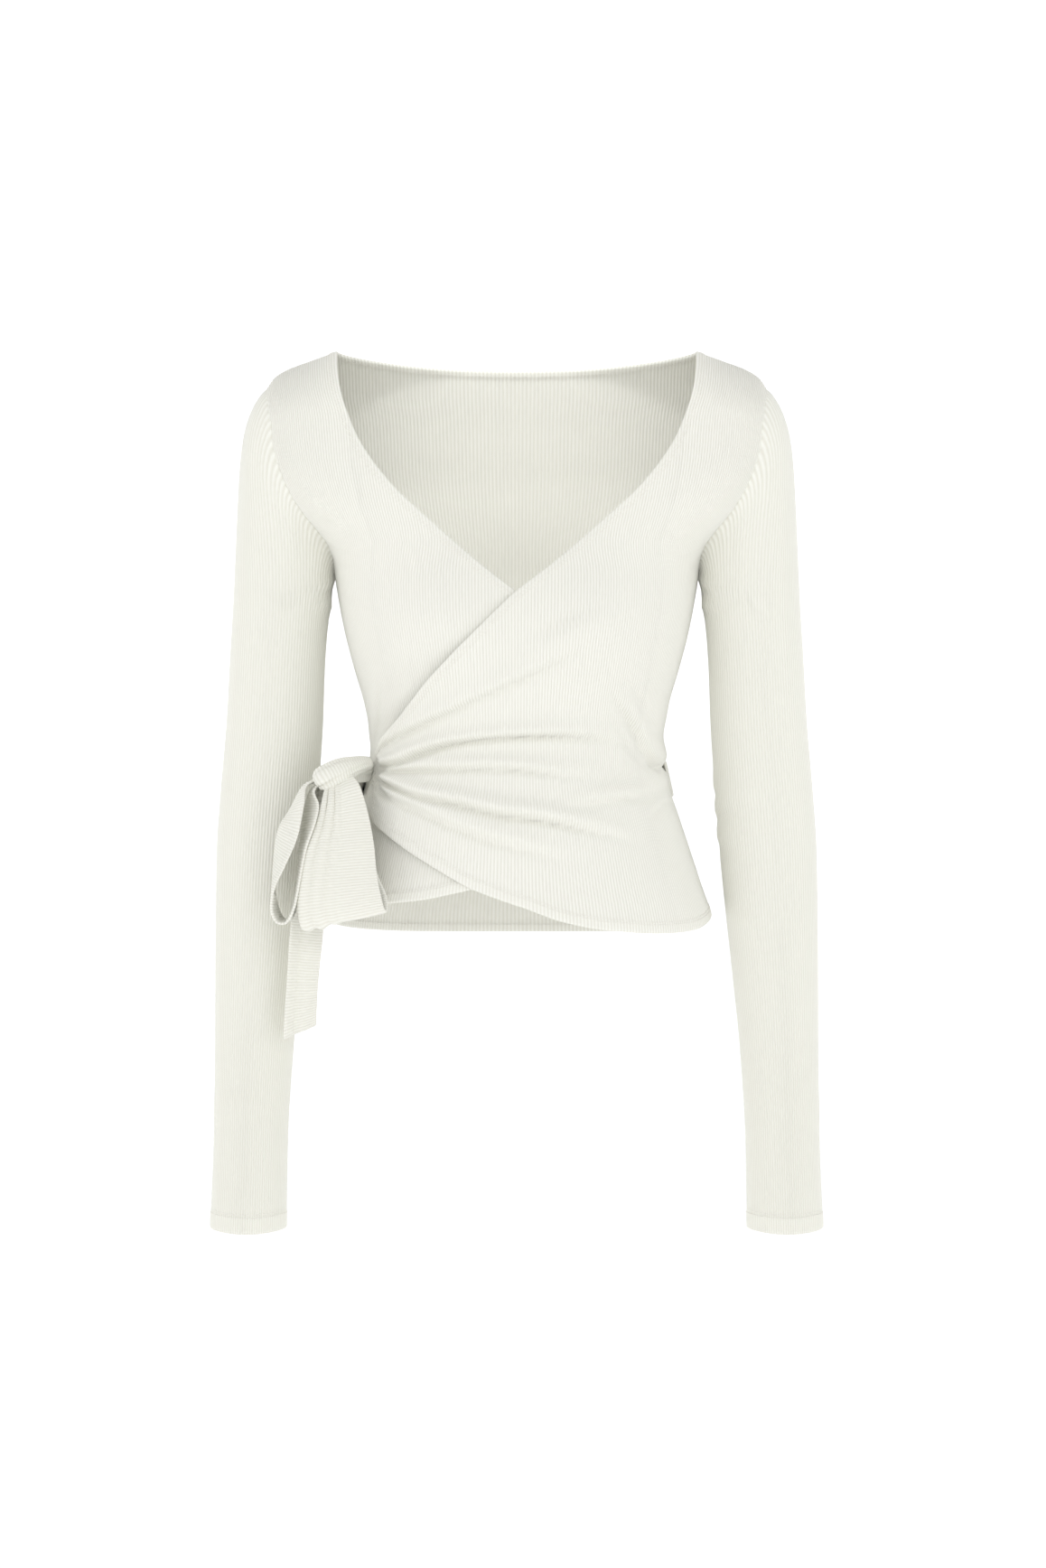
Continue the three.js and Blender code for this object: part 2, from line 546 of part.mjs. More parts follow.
// Right loop, seen face on: down its front layer, round the foot and up its back layer, left then right edge.
const rightLoop = [
  [[-127.5, -66, -317], [-114, -64, -313]],
  [[-136, -73, -331], [-107, -67, -325]],
  [[-139.5, -78, -345], [-103.8, -72, -342]],
  [[-145, -80, -365], [-101.5, -80, -362]],
  [[-150.5, -80, -384], [-99.5, -86, -381]],
  [[-153, -78, -403], [-96.5, -91, -396]],
  [[-153, -74, -417], [-93.5, -93, -406]],
  [[-152, -69, -418], [-91.5, -90, -406]],
  [[-150, -65, -407], [-92.5, -84, -396]],
  [[-146, -63, -384], [-99, -79, -381]],
  [[-142, -61, -362], [-105, -72, -360]],
  [[-137, -59, -340], [-112, -64, -338]],
  [[-131, -57, -324], [-116, -58, -322]],
];
const rightLoopPleats = [[0, 0], [0.125, 2.4], [0.25, 0], [0.375, 2.2], [0.5, 0], [0.75, 1.2], [1, 0]];
const frontTail = [
  [[-147, -47, -324], [-135, -46, -324]],
  [[-149, -45, -352], [-136, -43, -352]],
  [[-156, -44, -385], [-139, -40, -385]],
  [[-162.5, -44, -417], [-139.5, -40, -419]],
  [[-165.7, -43, -460], [-143.5, -39, -460]],
  [[-168.3, -42, -500], [-145, -38, -490]],
];
const frontTailFold = [[0, 0], [0.35, -3], [0.5, 1], [1, 0]];
const backTail = [
  [[-134, -49, -326], [-123, -47, -326]],
  [[-133, -46, -350], [-120, -46, -350]],
  [[-133, -46, -375], [-118, -50, -373]],
  [[-133, -47, -402], [-118, -58, -394]],
];

// The knot: the over tie wrapped once round the other, a short fat roll that slopes down to the left.
const KNOT = { at: [-132.5, -59.5, -309], half: [14.2, 8.8, 7.6], slope: 0.24 };
function knotGeometry() {
  const geometry = new THREE.SphereGeometry(1, 14, 9);
  geometry.scale(...KNOT.half);
  geometry.rotateY(-KNOT.slope);
  geometry.translate(...KNOT.at);
  return geometry;
}

// ---- The garment ----------------------------------------------------------------------------------------
const cloth = (color) => new THREE.MeshStandardMaterial({ color, roughness: 0.95, metalness: 0 });
const cream = () => cloth(COLOUR.cream);
const sleeveCloth = () => cloth(COLOUR.sleeve);
const tieCloth = () => cloth(COLOUR.tie);

const group = new THREE.Group();
function add(name, geometry, material) {
  const mesh = new THREE.Mesh(geometry, material);
  mesh.name = name;
  group.add(mesh);
}

const bodyAxis = (p) => new THREE.Vector3(0, 0, p.z - 10);
const underWall = { insideOf: bodyAxis, out: underLift, sewn: sewnFront(-1) };
const overWall = { insideOf: bodyAxis, out: overLift, sewn: sewnFront(1) };
add("back", wall(backGrid(), { insideOf: bodyAxis, sewn: sewnBack }), cream());
add("front_under", wall(frontGrid(-1, underHem), underWall), cream());
add("front_over", wall(frontGrid(1, overHem), overWall), cream());
for (const [name, side] of [["sleeve_right", -1], ["sleeve_left", 1]]) {
  const armAxis = (p) => new THREE.Vector3(side * ARM_X, 0, p.z);
  const sewn = sewnSleeve(side);
  add(name, wall(sleeveGrid(side), { insideOf: armAxis, closed: true, sewn }), sleeveCloth());
}
add("tie_under", wall(backStrapGrid(), { insideOf: bodyAxis }), tieCloth());
add("tie_over", strip(overStrap, { steps: 5, across: 3 }), tieCloth());
add("knot", knotGeometry(), tieCloth());
add("loop_left", strip(leftLoop, { steps: 24, across: 2 }), tieCloth());
add("loop_right", strip(rightLoop, { steps: 19, across: 8, fold: rightLoopPleats }), tieCloth());
add("tail_front", strip(frontTail, { steps: 9, across: 6, fold: frontTailFold }), tieCloth());
add("tail_back", strip(backTail, { steps: 6, across: 3 }), tieCloth());

export default group;
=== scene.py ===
"""A cropped wrap top in cream rib knit, with crossed fronts gathered into a bow at the wearer's right hip."""

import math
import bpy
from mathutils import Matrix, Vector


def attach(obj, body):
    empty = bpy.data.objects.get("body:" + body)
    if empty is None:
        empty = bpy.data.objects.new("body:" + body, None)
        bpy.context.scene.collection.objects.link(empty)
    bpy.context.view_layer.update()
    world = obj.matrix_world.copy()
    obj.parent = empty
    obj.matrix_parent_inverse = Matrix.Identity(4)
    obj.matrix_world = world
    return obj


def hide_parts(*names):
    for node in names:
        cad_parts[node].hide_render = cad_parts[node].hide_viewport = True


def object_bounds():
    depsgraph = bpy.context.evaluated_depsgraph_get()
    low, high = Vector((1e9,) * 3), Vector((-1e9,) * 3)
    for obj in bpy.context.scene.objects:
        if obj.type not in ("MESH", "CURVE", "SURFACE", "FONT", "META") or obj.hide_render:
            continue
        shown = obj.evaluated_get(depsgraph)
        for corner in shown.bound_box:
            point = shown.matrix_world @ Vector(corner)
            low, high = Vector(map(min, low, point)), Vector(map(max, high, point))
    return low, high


bl_info = {
    "name": "Rib Knit Wrap Top",
    "version": (1, 0, 0),
    "blender": (4, 5, 0),
    "location": "3D Viewport > Sidebar > Wrap Top",
    "description": "Builds a worn rib knit wrap top, piece by piece, round its frame",
    "category": "Object",
}

import bpy
import numpy as np
from bpy.props import FloatProperty, FloatVectorProperty, IntProperty, PointerProperty
from mathutils import Vector

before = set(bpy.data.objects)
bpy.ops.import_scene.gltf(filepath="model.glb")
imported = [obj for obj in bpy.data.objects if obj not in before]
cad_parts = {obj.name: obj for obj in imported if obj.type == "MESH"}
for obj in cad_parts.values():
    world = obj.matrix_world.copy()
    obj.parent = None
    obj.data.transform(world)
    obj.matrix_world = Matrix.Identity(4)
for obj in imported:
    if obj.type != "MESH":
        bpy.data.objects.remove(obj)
CAD_LOW, CAD_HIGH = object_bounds()
MM = 0.001

# ---- The worn form, in millimetres, in the frame's own axes --------------------------------------------------
# +X is the wearer's left, -Y the front and +Z up. The origin is midway between the neck points.
NECK_HALF = 131.0  # from the middle to the neck point
TIP_X, TIP_Z = 182.5, -28.0  # shoulder tip
UNDERARM_X, UNDERARM_Z = 132.5, -163.0
HEM_SIDE_Z = -411.0
HEM_BACK_DROP = 15.5
BACK_NECK_DROP = 8.6
SHOULDER_ROLL = 40.0  # height over which the cloth turns over the shoulder
SEAM_Y = 4.0
CUFF_Z = -639.0
TIE_X, TIE_Z = -102.0, -306.0  # the gathered corner
STRAP_Z, STRAP_WIDTH = -312.0, 26.0  # the strap round the back
STRAP_CLEAR = 1.6  # how far it lies off the form
WRAP_STEP = 3.4  # the upper front's face stands this far above the lower one's
PANEL_HALF_RUN = 150.0  # from a panel's middle to its side seam along the cloth, roughly
SEAM_HALF_GAP = 0.05
CUP_HEIGHT, CUP_FLAT, CUP_WIDTH, CUP_HOLLOW = 13, 50, 40, 0.35  # flat half width, fall beside it, dip between
CUP_Z, CUP_TALL = -196, 50


# ---- Curves ---------------------------------------------------------------------------------------------------
def hermite(a, b, slope_a, slope_b, f):
    """The cubic from a to b with those slopes, at share f."""
    f2, f3 = f * f, f * f * f
    return a * (2 * f3 - 3 * f2 + 1) + slope_a * (f3 - 2 * f2 + f) + b * (3 * f2 - 2 * f3) + slope_b * (f3 - f2)


def profile(pairs):
    """A smooth function through (place, value) pairs that never overshoots them."""
    xs, ys = np.array(sorted(pairs), float).T
    gap = np.diff(xs)
    rise = np.diff(ys) / gap
    slope = np.empty_like(ys)
    slope[0], slope[-1] = rise[0], rise[-1]
    agree = rise[:-1] * rise[1:] > 0
    total = np.where(agree, rise[:-1] + rise[1:], 1.0)
    slope[1:-1] = np.where(agree, 2 * rise[:-1] * rise[1:] / total, 0.0)

    def at(x):
        x = np.clip(x, xs[0], xs[-1])
        i = np.clip(np.searchsorted(xs, x, side="right") - 1, 0, len(gap) - 1)
        return hermite(ys[i], ys[i + 1], slope[i] * gap[i], slope[i + 1] * gap[i], (x - xs[i]) / gap[i])

    return at


def path_of(points, scale=1.0):
    """A smooth path through points of any dimension, measured along its own length from 0 to 1."""
    points = np.array(points, float)
    steps = np.linalg.norm(np.diff(points, axis=0) * scale, axis=1)
    places = np.concatenate([[0.0], np.cumsum(steps)]) / steps.sum()
    before = np.maximum(np.arange(len(points)) - 1, 0)
    after = np.minimum(np.arange(len(points)) + 1, len(points) - 1)
    tangent = (points[after] - points[before]) / (places[after] - places[before])[:, None]

    def at(f):
        f = np.atleast_1d(f)
        i = np.clip(np.searchsorted(places, f, side="right") - 1, 0, len(steps) - 1)
        span = (places[i + 1] - places[i])[:, None]
        share = (f[:, None] - places[i][:, None]) / span
        return hermite(points[i], points[i + 1], tangent[i] * span, tangent[i + 1] * span, share)

    return at


def smooth(x, low, high):
    """0 below low, 1 above high, and a soft step between."""
    f = np.clip((x - low) / (high - low), 0, 1)
    return f * f * (3 - 2 * f)


def rounded(distance, least, width=1.0):
    """The share of its thickness that a wall has near its rim: least at the rim itself, and 1 from width on."""
    return least + (1 - least) * np.sqrt(np.clip(distance / width, 0, 1))


def bump(x, width):
    """A soft bell of that half width."""
    return np.exp(-((x / width) ** 2))


def unit(v):
    """Vectors made one long, along the last axis."""
    return v / np.maximum(np.linalg.norm(v, axis=-1, keepdims=True), 1e-9)


def run_along(points):
    """Distance from the first point to each, along the first axis."""
    steps = np.linalg.norm(np.diff(points, axis=0), axis=-1)
    return np.concatenate([np.zeros((1, *steps.shape[1:])), np.cumsum(steps, axis=0)])


# ---- A general figure's sections --------------------------------------------------------------------------------
half_width = profile([
    (TIP_Z, TIP_X), (-45, 178.5), (-71, 176), (-92, 170), (-110, 161.5), (-121, 154), (-134, 143), (-144, 136),
    (-155, 132.8), (UNDERARM_Z, UNDERARM_X), (-179, 130), (-205, 125), (-232, 118), (-258, 110.5), (-284, 106),
    (-300, 107), (-318, 110.5), (-337, 117), (-364, 126), (-390, 134.5), (HEM_SIDE_Z, 141.5), (-427, 144),
])
front_depth = profile([
    (10, 30), (0, 34), (-40, 52), (-80, 68), (-120, 80), (-160, 89), (-205, 93), (-245, 87), (-290, 77),
    (-340, 81), (-385, 88), (-427, 93),
])
back_depth = profile([
    (10, 54), (0, 57), (-20, 66), (-60, 80), (-100, 87), (-150, 88), (-200, 82), (-250, 70), (-290, 63),
    (-340, 71), (-385, 81), (-427, 89),
])
edge_front = profile([(-70, 46), (-92, 47), (-110, 44), (-125, 36), (-140, 23), (-152, 11), (UNDERARM_Z, 0)])
edge_back = profile([(-70, 50), (-92, 52), (-110, 49), (-125, 40), (-140, 26), (-152, 13), (UNDERARM_Z, 0)])
reach = profile([(-70, 62), (-110, 68), (-140, 78.5), (UNDERARM_Z, 87), (-190, 90)])
shoulder_line = profile([(NECK_HALF, 0), (150, -7), (166, -13), (176, -19), (TIP_X, TIP_Z)])


def roll_top(x):
    """Height of the shoulder line, carried on inwards as a neck would rise."""
    aside = np.abs(x)
    return np.where(aside < NECK_HALF, SHOULDER_ROLL * (1 - aside / NECK_HALF), shoulder_line(aside))


def cup(x, z):
    """Soft cups eased into the fronts."""
    aside = np.maximum(0, np.abs(x) - CUP_FLAT)
    return CUP_HEIGHT * bump(aside, CUP_WIDTH) * (1 - CUP_HOLLOW * bump(x, 30)) * bump(z - CUP_Z, CUP_TALL)


def across_of(x, z):
    """How far across the panel a place seen from the front lies: -1 to 1, seam to seam."""
    turn = np.radians(reach(z))
    return np.arcsin(np.clip(x / half_width(z) * np.sin(turn), -1, 1)) / turn


def on_form(t, z, facing):
    """Points of the form. t runs from -1 to 1 across the panel; facing is -1 at the front and 1 at the back."""
    t, z = np.broadcast_arrays(t, z)
    turn = np.radians(reach(z))
    x = half_width(z) * np.sin(t * turn) / np.sin(turn)
    edge, middle = (edge_front(z), front_depth(z)) if facing < 0 else (edge_back(z), back_depth(z))
    bow = (np.cos(t * turn) - np.cos(turn)) / (1 - np.cos(turn))
    full = edge + (middle - edge) * bow
    if facing < 0:
        full = full + cup(x, z) * np.clip(3 * bow, 0, 1)
    rolled = np.sqrt(1 - (1 - np.clip((roll_top(x) - z) / SHOULDER_ROLL, 0, 1)) ** 2)
    y = SEAM_Y + (facing * full - SEAM_Y) * rolled
    return np.stack([x, y + facing * SEAM_HALF_GAP, z], axis=-1)


NECK_ACROSS = float(across_of(np.float64(NECK_HALF), np.float64(0)))


def top_of_back(t):
    """Height of the back's upper edge: the neck edge, then the shoulder seams."""
    z = np.zeros_like(t)
    for _ in range(8):
        x = np.abs(on_form(t, z, 1)[..., 0])
        neck = -BACK_NECK_DROP * (1 - np.clip(x / NECK_HALF, 0, 1) ** 2.2)
        z = np.where(x < NECK_HALF, neck, shoulder_line(x))
    return z


# ---- Edges of the fronts, as (x, z) seen from the front on the panel whose side seam is at +X -----------------
EDGE_SAMPLES = 1500
WRAP_EDGE = [
    (-101.5, TIE_Z + 6), (-97, -293), (-84, -273), (-67, -248.5), (-50, -227.5), (-25.5, -203.4), (-2.4, -181.6),
    (25.2, -160), (59.4, -129.5), (90, -100.5), (112.3, -70), (125, -39), (129.3, -18), (NECK_HALF, 0),
]
OVER_HEM = [
    (-102.5, TIE_Z - 6), (-102.5, -327), (-98.5, -344), (-87, -356), (-71, -368), (-54, -378.6), (-34, -390),
    (-13, -398.3), (8, -405.4), (28.4, -413), (49, -418), (66.4, -420.5), (101, -423), (127.8, -421.5),
    (137.7, -417.5), (141.5, HEM_SIDE_Z),
]
UNDER_HEM = [
    (-102.5, TIE_Z - 6), (-101, -325), (-92, -341), (-70, -356), (-40, -371), (-5, -382), (34, -391.5),
    (47.5, -394.6), (67, -398.6), (91, -401.3), (120, -405), (137, -408.5), (141.5, HEM_SIDE_Z),
]


def edge_height(points, end_across):
    """The height of an edge as a function of how far across the panel it is."""
    places = [(float(across_of(np.float64(x), np.float64(z))), z) for x, z in points]
    places[-1] = (end_across, points[-1][1])
    line = path_of(places, scale=np.array([PANEL_HALF_RUN, 1.0]))(np.linspace(0, 1, EDGE_SAMPLES))
    rising = np.maximum.accumulate(line[:, 0])
    return lambda t: np.interp(t, rising, line[:, 1])


# ---- Creases: a line (x, z), ridge height, trough depth, half width, the ridge's side, and where it fades in and out
CREASES = [
    ([(-13, -220), (23, -206), (57, -192), (80, -186)], 1.7, 1.6, 8, -1, 0.35, 0.5),
    ([(-99, -300), (-81, -283), (-55, -267.7), (-20, -250.6), (14, -235.3), (49, -220), (72, -214)],
     3.4, 3.8, 7, 1, 0.1, 0.6),
    ([(-99, -307), (-81, -303), (-65, -295.4), (-48, -288.4), (-27, -284), (1, -281.4), (32, -281.3),
      (58, -284), (84, -289.5), (100, -295)], 5.6, 6.6, 7, 1, 0.05, 0.5),
    ([(-96, -309), (-75, -308), (-55, -307), (-3, -306.5), (32, -311), (67, -311)], 3.8, 4.8, 6, 1, 0.08, 0.55),
    ([(-99, -313), (-84, -319.4), (-67, -326.5), (-37, -333), (-11, -339.3), (14, -342.5), (40, -347.7),
      (63, -353), (84, -357.6), (98, -361)], 5.8, 6.8, 7, 1, 0.05, 0.55),
    ([(-101, -317), (-86, -328), (-67, -337), (-46, -347), (-20, -357.3), (6, -364.4), (32, -369.5), (60, -374)],
     4.0, 4.2, 8, 1, 0.06, 0.5),
    ([(28, -335), (58, -330.3), (84, -326.5), (108, -322.7)], 2.8, 3.0, 7, 1, 0.4, 0.6),
    ([(93, -344), (104, -333), (116, -330)], 1.8, 1.8, 5, 1, 0.4, 0.6),
    ([(58, -242), (75, -264), (88, -287), (97, -299), (105, -306)], 3.4, 4.2, 9, 1, 0.55, 0.97),
    ([(76, -236), (90, -260), (101, -287)], 1.8, 1.8, 9, 1, 0.4, 0.6),
    ([(66, -270), (84, -296), (97, -306)], 1.6, 1.2, 7, -1, 0.4, 0.8),
]


def beside(line, x, z):
    """Signed distance from a line, positive above it, and how far along it the nearest place is."""
    points = path_of(line)(np.linspace(0, 1, 60))
    best = np.full(x.shape, 1e9)
    signed = np.zeros(x.shape)
    along = np.zeros(x.shape)
    for k in range(len(points) - 1):
        a, step = points[k], points[k + 1] - points[k]
        f = np.clip(((x - a[0]) * step[0] + (z - a[1]) * step[1]) / (step @ step), 0, 1)
        dx, dz = x - a[0] - f * step[0], z - a[1] - f * step[1]
        far = np.hypot(dx, dz)
        above = np.sign(step[0] * dz - step[1] * dx)
        nearer = far < best
        best = np.where(nearer, far, best)
        signed = np.where(nearer, far * above, signed)
        along = np.where(nearer, (k + f) / (len(points) - 1), along)
    return signed, along


def pressed(creases, x, z):
    """Height that a list of creases adds: a rounded ridge beside a narrow trough, fading at both ends."""
    height = np.zeros(x.shape)
    for line, ridge, trough, wide, side, fade_in, fade_out in creases:
        signed, along = beside(line, x, z)
        d = signed * side
        ends = smooth(along, 0, fade_in) * (1 - smooth(along, fade_out, 1))
        height += ends * (ridge * bump(d - 0.8 * wide, wide) - trough * bump(d, 0.38 * wide))
    return height


SWELL = 4.5
PLEAT_HEIGHT, PLEATS_PER_TURN = 0.9, 15


def gathered(x, z):
    """The upper front's height over its form, from the swell of the gathers and the creases in it."""
    from_tie = np.hypot(x - TIE_X, z - TIE_Z)
    swell = SWELL * smooth(from_tie, 4, 30) * (1 - smooth(from_tie, 80, 210))
    swell *= smooth(z, -395, -345) * (1 - smooth(z, -240, -200))
    near = smooth(from_tie, 2, 14)
    fan = np.arctan2(z - TIE_Z, x - TIE_X)
    pleats = PLEAT_HEIGHT * np.cos(fan * PLEATS_PER_TURN) * bump(from_tie - 18, 13)
    return swell + near * (pressed(CREASES, x, z) + pleats)


def waist_notch(x, z):
    """Both walls at the left side seam: drawn in where the crease meets it and pushed out over the strap below."""
    pushed_out, drawn_in = 1.8 * bump(z + 313, 7), 2.4 * bump(z + 302, 4.5)
    return smooth(x, 84, 100) * (pushed_out - drawn_in)


def wrap_share(x):
    """How the step between the fronts is shared: 0 where the upper one rises, 1 where the lower one sinks."""
    return smooth(x, -20, 100)


def over_lift(p, side):
    """Height of the upper front over the form at points p."""
    x, z = p[..., 0] * side, p[..., 2]
    return WRAP_STEP * (1 - wrap_share(x)) + gathered(x, z)


UNDER_CREASES = [
    ([(97, -236), (98, -258), (99, -272), (103, -286), (106, -298)], 1.5, 1.4, 5, 1, 0.3, 0.7),
    ([(60, -240), (80, -262), (94, -285)], 0.8, 0.6, 7, 1, 0.4, 0.6),
    ([(66, -300), (84, -304), (100, -306)], 0.9, 0.8, 6, 1, 0.5, 0.7),
]


def under_lift(p, side):
    """Height of the lower front, which sinks below the upper one."""
    x, z = p[..., 0], p[..., 2]
    own = x * side
    return -WRAP_STEP * wrap_share(x) + pressed(UNDER_CREASES, own, z) * smooth(own, 20, 60)


BACK_CREASES = [
    ([(-96, -262), (-50, -276), (0, -280), (50, -275), (96, -260)], 2.0, 1.5, 10, 1, 0.3, 0.7),
    ([(-80, -236), (-30, -252), (30, -254), (82, -238)], 1.5, 1.2, 10, 1, 0.35, 0.65),
    ([(-98, -345), (-50, -337), (0, -336), (52, -339), (100, -347)], 1.4, 1.0, 10, -1, 0.35, 0.65),
    ([(-140, -110), (-110, -140), (-86, -176)], 1.6, 1.2, 9, 1, 0.4, 0.6),
    ([(140, -110), (110, -140), (86, -176)], 1.6, 1.2, 9, -1, 0.4, 0.6),
]


def back_lift(p, side):
    """Height of the back, flat where the strap lies across it."""
    x, z = p[..., 0], p[..., 2]
    return pressed(BACK_CREASES, x, z) * (1 - bump(z - STRAP_Z, 22))


# ---- Grids of cloth -----------------------------------------------------------------------------------------------
SAMPLES_PER_RIB = 3
NECK_STEPS = np.array([0, 0.4, 1.0, 2.2, 3.6, 4.8, 5.6, 6.4, 7.2, 8.4, 10.5])  # distances in from a neck edge
HEM_STEPS = np.array([0, 0.4, 1.0, 2.4, 4.2, 6.0, 7.0, 7.8, 8.6, 9.6, 11.5])  # distances in from a hem
NECK_TURNING, HEM_TURNING, CUFF_TURNING = 6.4, 8.6, 12.6
NECK_STITCH_ROWS, HEM_STITCH_ROWS = (3.6, 5.6), (6.0, 8.0)  # distances of the rows of stitches from those edges
SHOULDER_STEPS = np.array([0, 0.6, 1.4, 2.8])
FAR_AWAY = 99.0  # the distance given to what lies well away from an edge
SAMPLES_DOWN = 260  # fine places down each rib, from which its rows are picked
WAIST_LOW, WAIST_HIGH = (-385, -360), (-245, -215)  # where the rows' crowding comes in and goes out
LEAST_ROW_STEP = 0.25  # share of an even step below which rows never close up


def evened(values, reach_out=12):
    """Values smoothed along a row."""
    weights = np.hanning(2 * reach_out + 3)[1:-1]
    padded = np.pad(values, reach_out, mode="edge")
    return np.convolve(padded, weights / weights.sum(), mode="valid")


def slant(edge, inner):
    """Sine of the angle between an edge and the ribs that meet it."""
    along = unit(np.gradient(edge, axis=0))
    rib = unit(inner - edge)
    return evened(np.clip(np.linalg.norm(np.cross(along, rib), axis=1), 0.3, 1))


def down_the_ribs(place, t, top, foot, top_steps, foot_steps, middle_rows, crowding=0.0, corner=None):
    """Heights down each rib, close together at both edges and even between, and how far down the rib each lies.
    Before the column called corner, where the top edge drops steeply, rows ease to that column's level."""
    heights = top + (foot - top) * np.linspace(0, 1, SAMPLES_DOWN)[:, None] ** 2
    points = place(t, heights)
    run = run_along(points)
    total = run[-1]
    top_run = top_steps[:, None] / slant(points[0], points[2])
    foot_run = foot_steps[:, None] / slant(points[-1], points[-3])
    # On a short rib the steps at both edges take no more than three quarters of it.
    squeeze = np.minimum(1, 0.75 * total / (top_run[-1] + foot_run[-1]))
    top_run, foot_run = top_run * squeeze, foot_run * squeeze
    # Rows stand closer where the waist creases run.
    closeness = 1 + crowding * smooth(heights, *WAIST_LOW) * (1 - smooth(heights, *WAIST_HIGH))
    crowd = np.cumsum(closeness * np.gradient(run, axis=0), axis=0)
    share = np.linspace(0, 1, middle_rows + 2)[1:-1]
    middle = []
    for j in range(len(t)):
        low, high = np.interp([top_run[-1, j], total[j] - foot_run[-1, j]], run[:, j], crowd[:, j])
        middle.append(np.interp(low + (high - low) * share, crowd[:, j], run[:, j]))
    wanted = np.concatenate([top_run, np.array(middle).T, (total - foot_run)[::-1]])
    z = np.stack([np.interp(wanted[:, j], run[:, j], heights[:, j]) for j in range(len(t))], axis=1)
    if corner is not None:
        between = slice(len(top_steps), len(top_steps) + middle_rows)
        z[between] = levelled(z[between], t, corner, z[between.start - 1], z[between.stop])
        wanted = np.stack([np.interp(-z[:, j], -heights[:, j], run[:, j]) for j in range(len(t))], axis=1)
    return z, wanted


def levelled(z, t, corner, high, low):
    """Rows of heights eased to their level at the column called corner, kept in order between high and low."""
    count = len(z)
    order = np.arange(1, count + 1)[:, None]
    least = LEAST_ROW_STEP * (high - low) / (count + 1)
    level = 1 - smooth(t[corner] - t, 0.1, 0.55)
    level[corner:] = 0
    eased = z + level * (z[:, corner : corner + 1] - z)
    eased = np.minimum(eased, high - least * order)
    return np.maximum(eased, low + least * (count + 1 - order))


def distance_to(line, points):
    """Distance of each point of a grid from a line of segments."""
    start, step = line[:-1], np.diff(line, axis=0)
    square = np.sum(step * step, axis=1) + 1e-12
    far = np.empty(points.shape[:2])
    for k, row in enumerate(points):
        off = row[:, None] - start[None]
        share = np.clip(np.sum(off * step, axis=2) / square, 0, 1)
        far[k] = np.sqrt(np.min(np.sum((off - share[..., None] * step) ** 2, axis=2), axis=1))
    return far


def grid_normals(points, outward, closed=False):
    """Normals of a grid of points, turned the way that outward gives."""
    if closed:
        wide = np.concatenate([points[:, -1:], points, points[:, :1]], axis=1)
        along = (wide[:, 2:] - wide[:, :-2]) / 2
    else:
        along = np.gradient(points, axis=1)
    normals = unit(np.cross(np.gradient(points, axis=0), along))
    facing = np.sum(normals * outward(points))
    return normals if facing > 0 else -normals


ARMHOLE_MIDDLE = np.array([118.0, 0.0, -98.0])
SEAM_BLEND = 5.0  # from a seam, over this width, walls lean to stand square to their neighbours


def seam_direction(points, side, closed=False):
    """The direction in which both pieces joined along a side edge or armhole have their thickness."""
    step = np.roll(points, -1, axis=0) - np.roll(points, 1, axis=0) if closed else np.gradient(points, axis=0)
    along = unit(step)
    from_armhole = unit(points - ARMHOLE_MIDDLE * [side, 1, 1])
    share = smooth(points[:, 2:], UNDERARM_Z - 6, UNDERARM_Z + 14)
    away = np.array([side, 0.0, 0.0]) * (1 - share) + from_armhole * share
    return unit(away - along * np.sum(away * along, axis=1, keepdims=True))


def shoulder_seam_direction(points):
    """The direction in which fronts and back have their thickness along a shoulder seam."""
    along = unit(np.gradient(points, axis=0))
    up = np.array([0.0, 0.0, 1.0])
    return unit(up - along * np.sum(up * along, axis=1, keepdims=True))


def form_normals(place, t, z):
    """Normals of a surface given by a function of t and z."""
    dt, dz = 0.002, 0.25
    across = place(np.minimum(t + dt, 1), z) - place(np.maximum(t - dt, -1), z)
    down = place(t, z - dz) - place(t, z)
    normals = unit(np.cross(down, across))
    facing = np.sum(normals * place(t, z) * [1, 1, 0])
    return normals if facing > 0 else -normals


def leaned(normals, direction, distance):
    """Normals turned to a seam's direction close to it."""
    share = (1 - smooth(distance, 0, SEAM_BLEND))[..., None]
    return unit(normals * (1 - share) + direction * share)


def add_object(name, data):
    """A new object of the scene, at the origin."""
    obj = bpy.data.objects.new(name, data)
    bpy.context.scene.collection.objects.link(obj)
    return obj


